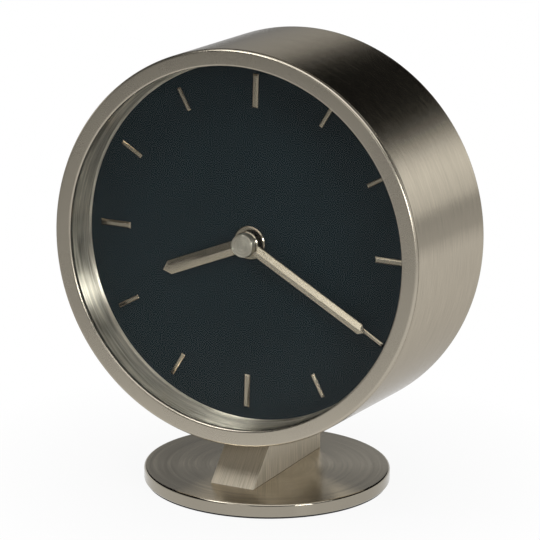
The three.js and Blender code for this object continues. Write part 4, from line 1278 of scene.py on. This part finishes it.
class CLOCK_OT_stem(bpy.types.Operator):
    """Cut the wedge stem to the case"""

    bl_idname = "clock.stem"
    bl_label = "Stem"

    def execute(self, context):
        case, foot = settings("case"), settings("foot")
        bottom = foot.pad + foot.thickness
        top = bottom + foot.stem_rise + STEM_SPARE
        rear = (head_matrix() @ Vector((0.0, case.depth, -case.radius))).y + foot.stem_overhang
        front = rear - foot.stem_length
        lean = (top - bottom) * math.tan(foot.stem_lean)
        half = foot.stem_width / 2
        bm = polygon_prism([(front, bottom), (rear, bottom), (rear, top), (front + lean, top)], -half, half)
        rotate(bm, QUARTER_TURN, "Z")
        bmesh.ops.scale(bm, vec=(-1.0, 1.0, 1.0), verts=bm.verts)
        bmesh.ops.recalc_face_normals(bm, faces=bm.faces)
        soften(bm, STEM_ROUND, 2, lambda p: p.z < top - TOUCH)
        saddle = cylinder(case.radius + foot.seat_gap, -case.depth, 2 * case.depth, CASE_STEPS)
        bmesh.ops.transform(saddle, matrix=head_matrix(), verts=saddle.verts)
        add_piece("stem", cut(bm, saddle), stem_nickel(), place=ON_FLOOR)
        return {"FINISHED"}


def screw_shape(shank_length):
    """A pan-head screw along y with a cross recess, its head's underside at y = 0."""
    section = [
        (0.0, -shank_length),
        (SCREW_SHANK, -shank_length),
        (SCREW_SHANK, 0.0),
        (SCREW_HEAD, 0.0),
        (SCREW_HEAD, SCREW_HEIGHT * 0.45),
        (SCREW_SHANK, SCREW_HEIGHT),
        (0.0, SCREW_HEIGHT),
    ]
    bm = turned(section, SMALL_STEPS)
    soften(bm, SMALL_ROUND, 3, lambda p: p.y > TOUCH)
    reach, half_slot = 1.5 * MM, 0.32 * MM
    floor, top = SCREW_HEIGHT - 0.9 * MM, SCREW_HEIGHT + 1 * MM
    for turn in (0.0, QUARTER_TURN):
        slot = box((-reach, floor, -half_slot), (reach, top, half_slot))
        deep = [vert for vert in slot.verts if vert.co.y < SCREW_HEIGHT]
        bmesh.ops.scale(slot, vec=(0.45, 1.0, 0.7), verts=deep)
        rotate(slot, turn, "Y")
        bm = cut(bm, slot)
    return bm


def cover_screw_spots():
    """Where the rear cover's three screws stand, as x and z."""
    radius = settings("case").insert - SCREW_INSET
    turns = [QUARTER_TURN + index * FULL_TURN / 3 for index in range(3)]
    return [(radius * math.cos(turn), radius * math.sin(turn)) for turn in turns]


class CLOCK_OT_screws(bpy.types.Operator):
    """Make the screws of the rear cover and of the stem"""

    bl_idname = "clock.screws"
    bl_label = "Screws"

    def execute(self, context):
        head = head_matrix()
        seat_depth = settings("case").cover_rear + FIT_GAP
        for index, (x, z) in enumerate(cover_screw_spots()):
            turn = Matrix.Rotation(COVER_SCREW_TURN + index, 4, "Y")
            place = head @ Matrix.Translation((x, seat_depth, z)) @ turn
            bm = screw_shape(COVER_SCREW_LENGTH)
            add_piece(f"rear_cover_screw_{index + 1}", bm, plated_steel(), place=place)
        lean = head.to_3x3()
        for index, node in enumerate(("stem_screw_1", "stem_screw_2")):
            low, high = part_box(node)
            middle = (low + high) / 2
            seat = Vector((middle.x, middle.y, high.z)) - lean @ Vector((0, 0, SCREW_HEIGHT))
            upright = lean.to_4x4() @ Matrix.Rotation(QUARTER_TURN, 4, "X")
            place = Matrix.Translation(seat) @ upright @ Matrix.Rotation(STEM_SCREW_TURN + index, 4, "Y")
            add_piece(node, screw_shape(STEM_SCREW_LENGTH), plated_steel(), place=place)
        return {"FINISHED"}


# Rear cover and movement

COVER_ROUND = 0.35 * MM
COVER_RIM = 2 * MM
COVER_RISE = 0.8 * MM
RIM_ROOT = 0.5 * MM  # how deep the rim starts inside the cover
SCREW_HOLE = 1.65 * MM
HOUSING_ROUND = 0.4 * MM
INNER_CORNER = 1 * MM
HOUSING_OPEN = 6 * MM  # how far the cut for the inside reaches past the housing
TUBE_BORE = 2.35 * MM
KNOB_RIDGES = 22
KNOB_SHAFT = 0.5 * MM
KNOB_SHAFT_FRONT = 18.9 * MM
PINION_TEETH = 15
PINION_ROOT = 3.2 * MM
PINION_TIP = 4.12 * MM
PINION_DEPTHS = (22.2 * MM, 23.4 * MM)


class CLOCK_OT_rear_cover(bpy.types.Operator):
    """Mould the rear cover with its window and its raised rims"""

    bl_idname = "clock.rear_cover"
    bl_label = "Rear cover"

    def execute(self, context):
        case = settings("case")
        rear, front = case.cover_rear, case.cover_rear - case.cover_thickness
        disc = cylinder(case.insert, front, rear, CASE_STEPS)
        soften(disc, COVER_ROUND, 3)
        half = case.window / 2
        outer = half + COVER_RIM
        rim_depths = (front + RIM_ROOT, rear + COVER_RISE)
        rim = rounded_block(outer, rim_depths, (-outer, outer), case.window_corner + COVER_RIM, 8)
        soften(rim, SMALL_ROUND, 2, lambda p: p.y > rear)
        window = rounded_block(half, (front - SPARE, rear + SPARE), (-half, half), case.window_corner, 8)
        bm = cut(joined(disc, rim), window)
        for x, z in cover_screw_spots():
            bm = cut(bm, cylinder(SCREW_HOLE, front - SPARE, rear + SPARE, SMALL_STEPS, x, z))
        add_piece("rear_cover", bm, black_moulding())
        return {"FINISHED"}


class CLOCK_OT_movement_case(bpy.types.Operator):
    """Mould the movement's housing and its cover"""

    bl_idname = "clock.movement_case"
    bl_label = "Movement case"

    def execute(self, context):
        move = settings("movement")
        half, wall = move.half_width, move.wall
        stock = rounded_block(half, (move.front, move.rear), (-move.bottom, move.top), move.corner, 5)
        soften(stock, HOUSING_ROUND, 2, lambda p: p.y < move.front + TOUCH)
        inside = (move.front + wall, move.rear + HOUSING_OPEN)
        heights = (wall - move.bay_top, move.top - wall), (wall - move.bottom, -move.bay_top)
        chamber, bay = (rounded_block(half - wall, inside, z, INNER_CORNER, 3) for z in heights)
        bushing = cylinder(move.bushing, move.bushing_front, move.front + wall, HUB_STEPS)
        bore = cylinder(TUBE_BORE, move.bushing_front - SPARE, move.front + HOUSING_OPEN, HUB_STEPS)
        housing = cut(joined(cut(stock, chamber, bay), bushing), bore)
        add_piece("movement_housing", housing, black_moulding())
        rear = move.cover_front + move.cover_thickness
        lid = rounded_block(half, (move.cover_front, rear), (-move.bay_top, move.top), move.corner, 5)
        soften(lid, SMALL_ROUND, 2, lambda p: p.y > rear - TOUCH)
        add_piece("movement_cover", lid, black_moulding())
        return {"FINISHED"}


class CLOCK_OT_set_knob(bpy.types.Operator):
    """Mould the ridged knob that sets the hands, with its shaft and pinion"""

    bl_idname = "clock.set_knob"
    bl_label = "Setting knob"

    def execute(self, context):
        move = settings("movement")
        joint = next(j for j in frame["record"]["behaviour"]["joints"] if j["name"] == "knob_spin")
        spot = head_matrix().inverted() @ Vector(joint["pos_m"])
        radius, front, rear = move.knob_radius, move.knob_front, move.knob_front + move.knob_height
        ridge, rim, hollow = 0.5 * MM, 1.8 * MM, 0.7 * MM
        grip = toothed(KNOB_RIDGES, radius - ridge, radius, front, rear, spot.x, spot.z)
        soften(grip, SMALL_ROUND, 2, lambda p: p.y > rear - TOUCH)
        dish = cylinder(radius - rim, rear - hollow, rear + SPARE, HUB_STEPS, spot.x, spot.z)
        shaft = cylinder(KNOB_SHAFT, KNOB_SHAFT_FRONT, rear - 2 * MM, SMALL_STEPS, spot.x, spot.z)
        pinion = toothed(PINION_TEETH, PINION_ROOT, PINION_TIP, *PINION_DEPTHS, spot.x, spot.z)
        knob = joined(cut(grip, dish), shaft, pinion)
        add_piece("set_knob", knob, black_moulding(), "knob")
        return {"FINISHED"}


class CLOCK_OT_battery(bpy.types.Operator):
    """Turn the battery with its button and crimped ends"""

    bl_idname = "clock.battery"
    bl_label = "Battery"

    def execute(self, context):
        move = settings("movement")
        low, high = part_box("battery")
        centre = head_matrix().inverted() @ ((low + high) / 2)
        half, radius = move.battery_length / 2, move.battery_radius
        crimp, crimp_depth, recess, button = radius - 0.9 * MM, 0.4 * MM, 0.3 * MM, 2.7 * MM
        dimple, dimple_edge, shoulder = radius * 0.62, radius * 0.68, half - 1 * MM
        section = [
            (0.0, recess - half),
            (dimple, recess - half),
            (dimple_edge, -half),
            (crimp, -half),
            (crimp, crimp_depth - half),
            (radius, crimp_depth - half),
            (radius, shoulder),
            (crimp, shoulder),
            (crimp, shoulder - recess),
            (button, shoulder - recess),
            (button, half),
            (0.0, half),
        ]
        bm = turned(section, HUB_STEPS)
        soften(bm, SMALL_ROUND, 3, lambda p: at_rim(p, radius))
        soften(bm, SMALL_ROUND, 2, lambda p: p.y > half - TOUCH)
        rotate(bm, -QUARTER_TURN, "Z")
        bmesh.ops.translate(bm, vec=(0.0, centre.y, centre.z), verts=bm.verts)
        add_piece("battery", bm, cell_sleeve(), "cell")
        return {"FINISHED"}


class CLOCK_OT_train(bpy.types.Operator):
    """Give their finish to the inner pieces that keep their shape from the frame"""

    bl_idname = "clock.train"
    bl_label = "Inner pieces"

    def execute(self, context):
        groups = (
            (plated_steel(), "dial_seat cover_ledge base_screw_1 base_screw_2 stator coil_core"),
            (plated_steel(), "rotor_magnet crystal_can contact_positive contact_negative"),
            (turned_brass(), "minute_arbor fixing_nut"),
            (white_moulding(), "hour_wheel transmission_wheel centre_wheel third_wheel"),
            (white_moulding(), "second_wheel intermediate_wheel rotor_pinion coil_bobbin"),
            (wound_copper(), "coil_winding"),
            (circuit_mask(), "circuit_board"),
            (black_moulding(), "timing_chip"),
            (soft_rubber(), "dial_washer"),
        )
        for material, nodes in groups:
            for node in nodes.split():
                mesh = frame["nodes"][node].data
                mesh.materials.clear()
                mesh.materials.append(material)
        return {"FINISHED"}


# Add-on

OPERATORS = (
    CLOCK_OT_stage,
    CLOCK_OT_case_band,
    CLOCK_OT_bezel,
    CLOCK_OT_lens,
    CLOCK_OT_reflector,
    CLOCK_OT_dial,
    CLOCK_OT_hour_markers,
    CLOCK_OT_hands,
    CLOCK_OT_hand_cap,
    CLOCK_OT_foot,
    CLOCK_OT_stem,
    CLOCK_OT_screws,
    CLOCK_OT_rear_cover,
    CLOCK_OT_movement_case,
    CLOCK_OT_set_knob,
    CLOCK_OT_battery,
    CLOCK_OT_train,
)
SETTINGS = {
    "clock_case": ClockCaseSizes,
    "clock_dial": ClockDialSizes,
    "clock_foot": ClockFootSizes,
    "clock_movement": ClockMovementSizes,
    "clock_finishes": ClockFinishes,
    "clock_stage": ClockStage,
}


class CLOCK_PT_sidebar(bpy.types.Panel):
    """Lists the clock's pieces and its settings"""

    bl_idname = "CLOCK_PT_sidebar"
    bl_label = "Tabletop Clock"
    bl_space_type = "VIEW_3D"
    bl_region_type = "UI"
    bl_category = "Clock"

    def draw(self, context):
        for operator in OPERATORS:
            self.layout.operator(operator.bl_idname)
        for name in SETTINGS:
            group = getattr(context.scene, name)
            column = self.layout.column()
            for key in group.bl_rna.properties.keys():
                if key not in ("rna_type", "name"):
                    column.prop(group, key)


CLASSES = (*SETTINGS.values(), *OPERATORS, CLOCK_PT_sidebar)


def register():
    for cls in CLASSES:
        bpy.utils.register_class(cls)
    for name, cls in SETTINGS.items():
        setattr(bpy.types.Scene, name, PointerProperty(type=cls))


def unregister():
    for name in SETTINGS:
        delattr(bpy.types.Scene, name)
    for cls in reversed(CLASSES):
        bpy.utils.unregister_class(cls)


def main():
    register()
    for operator in OPERATORS:
        category, action = operator.bl_idname.split(".")
        getattr(getattr(bpy.ops, category), action)()


if __name__ == "__main__":
    main()
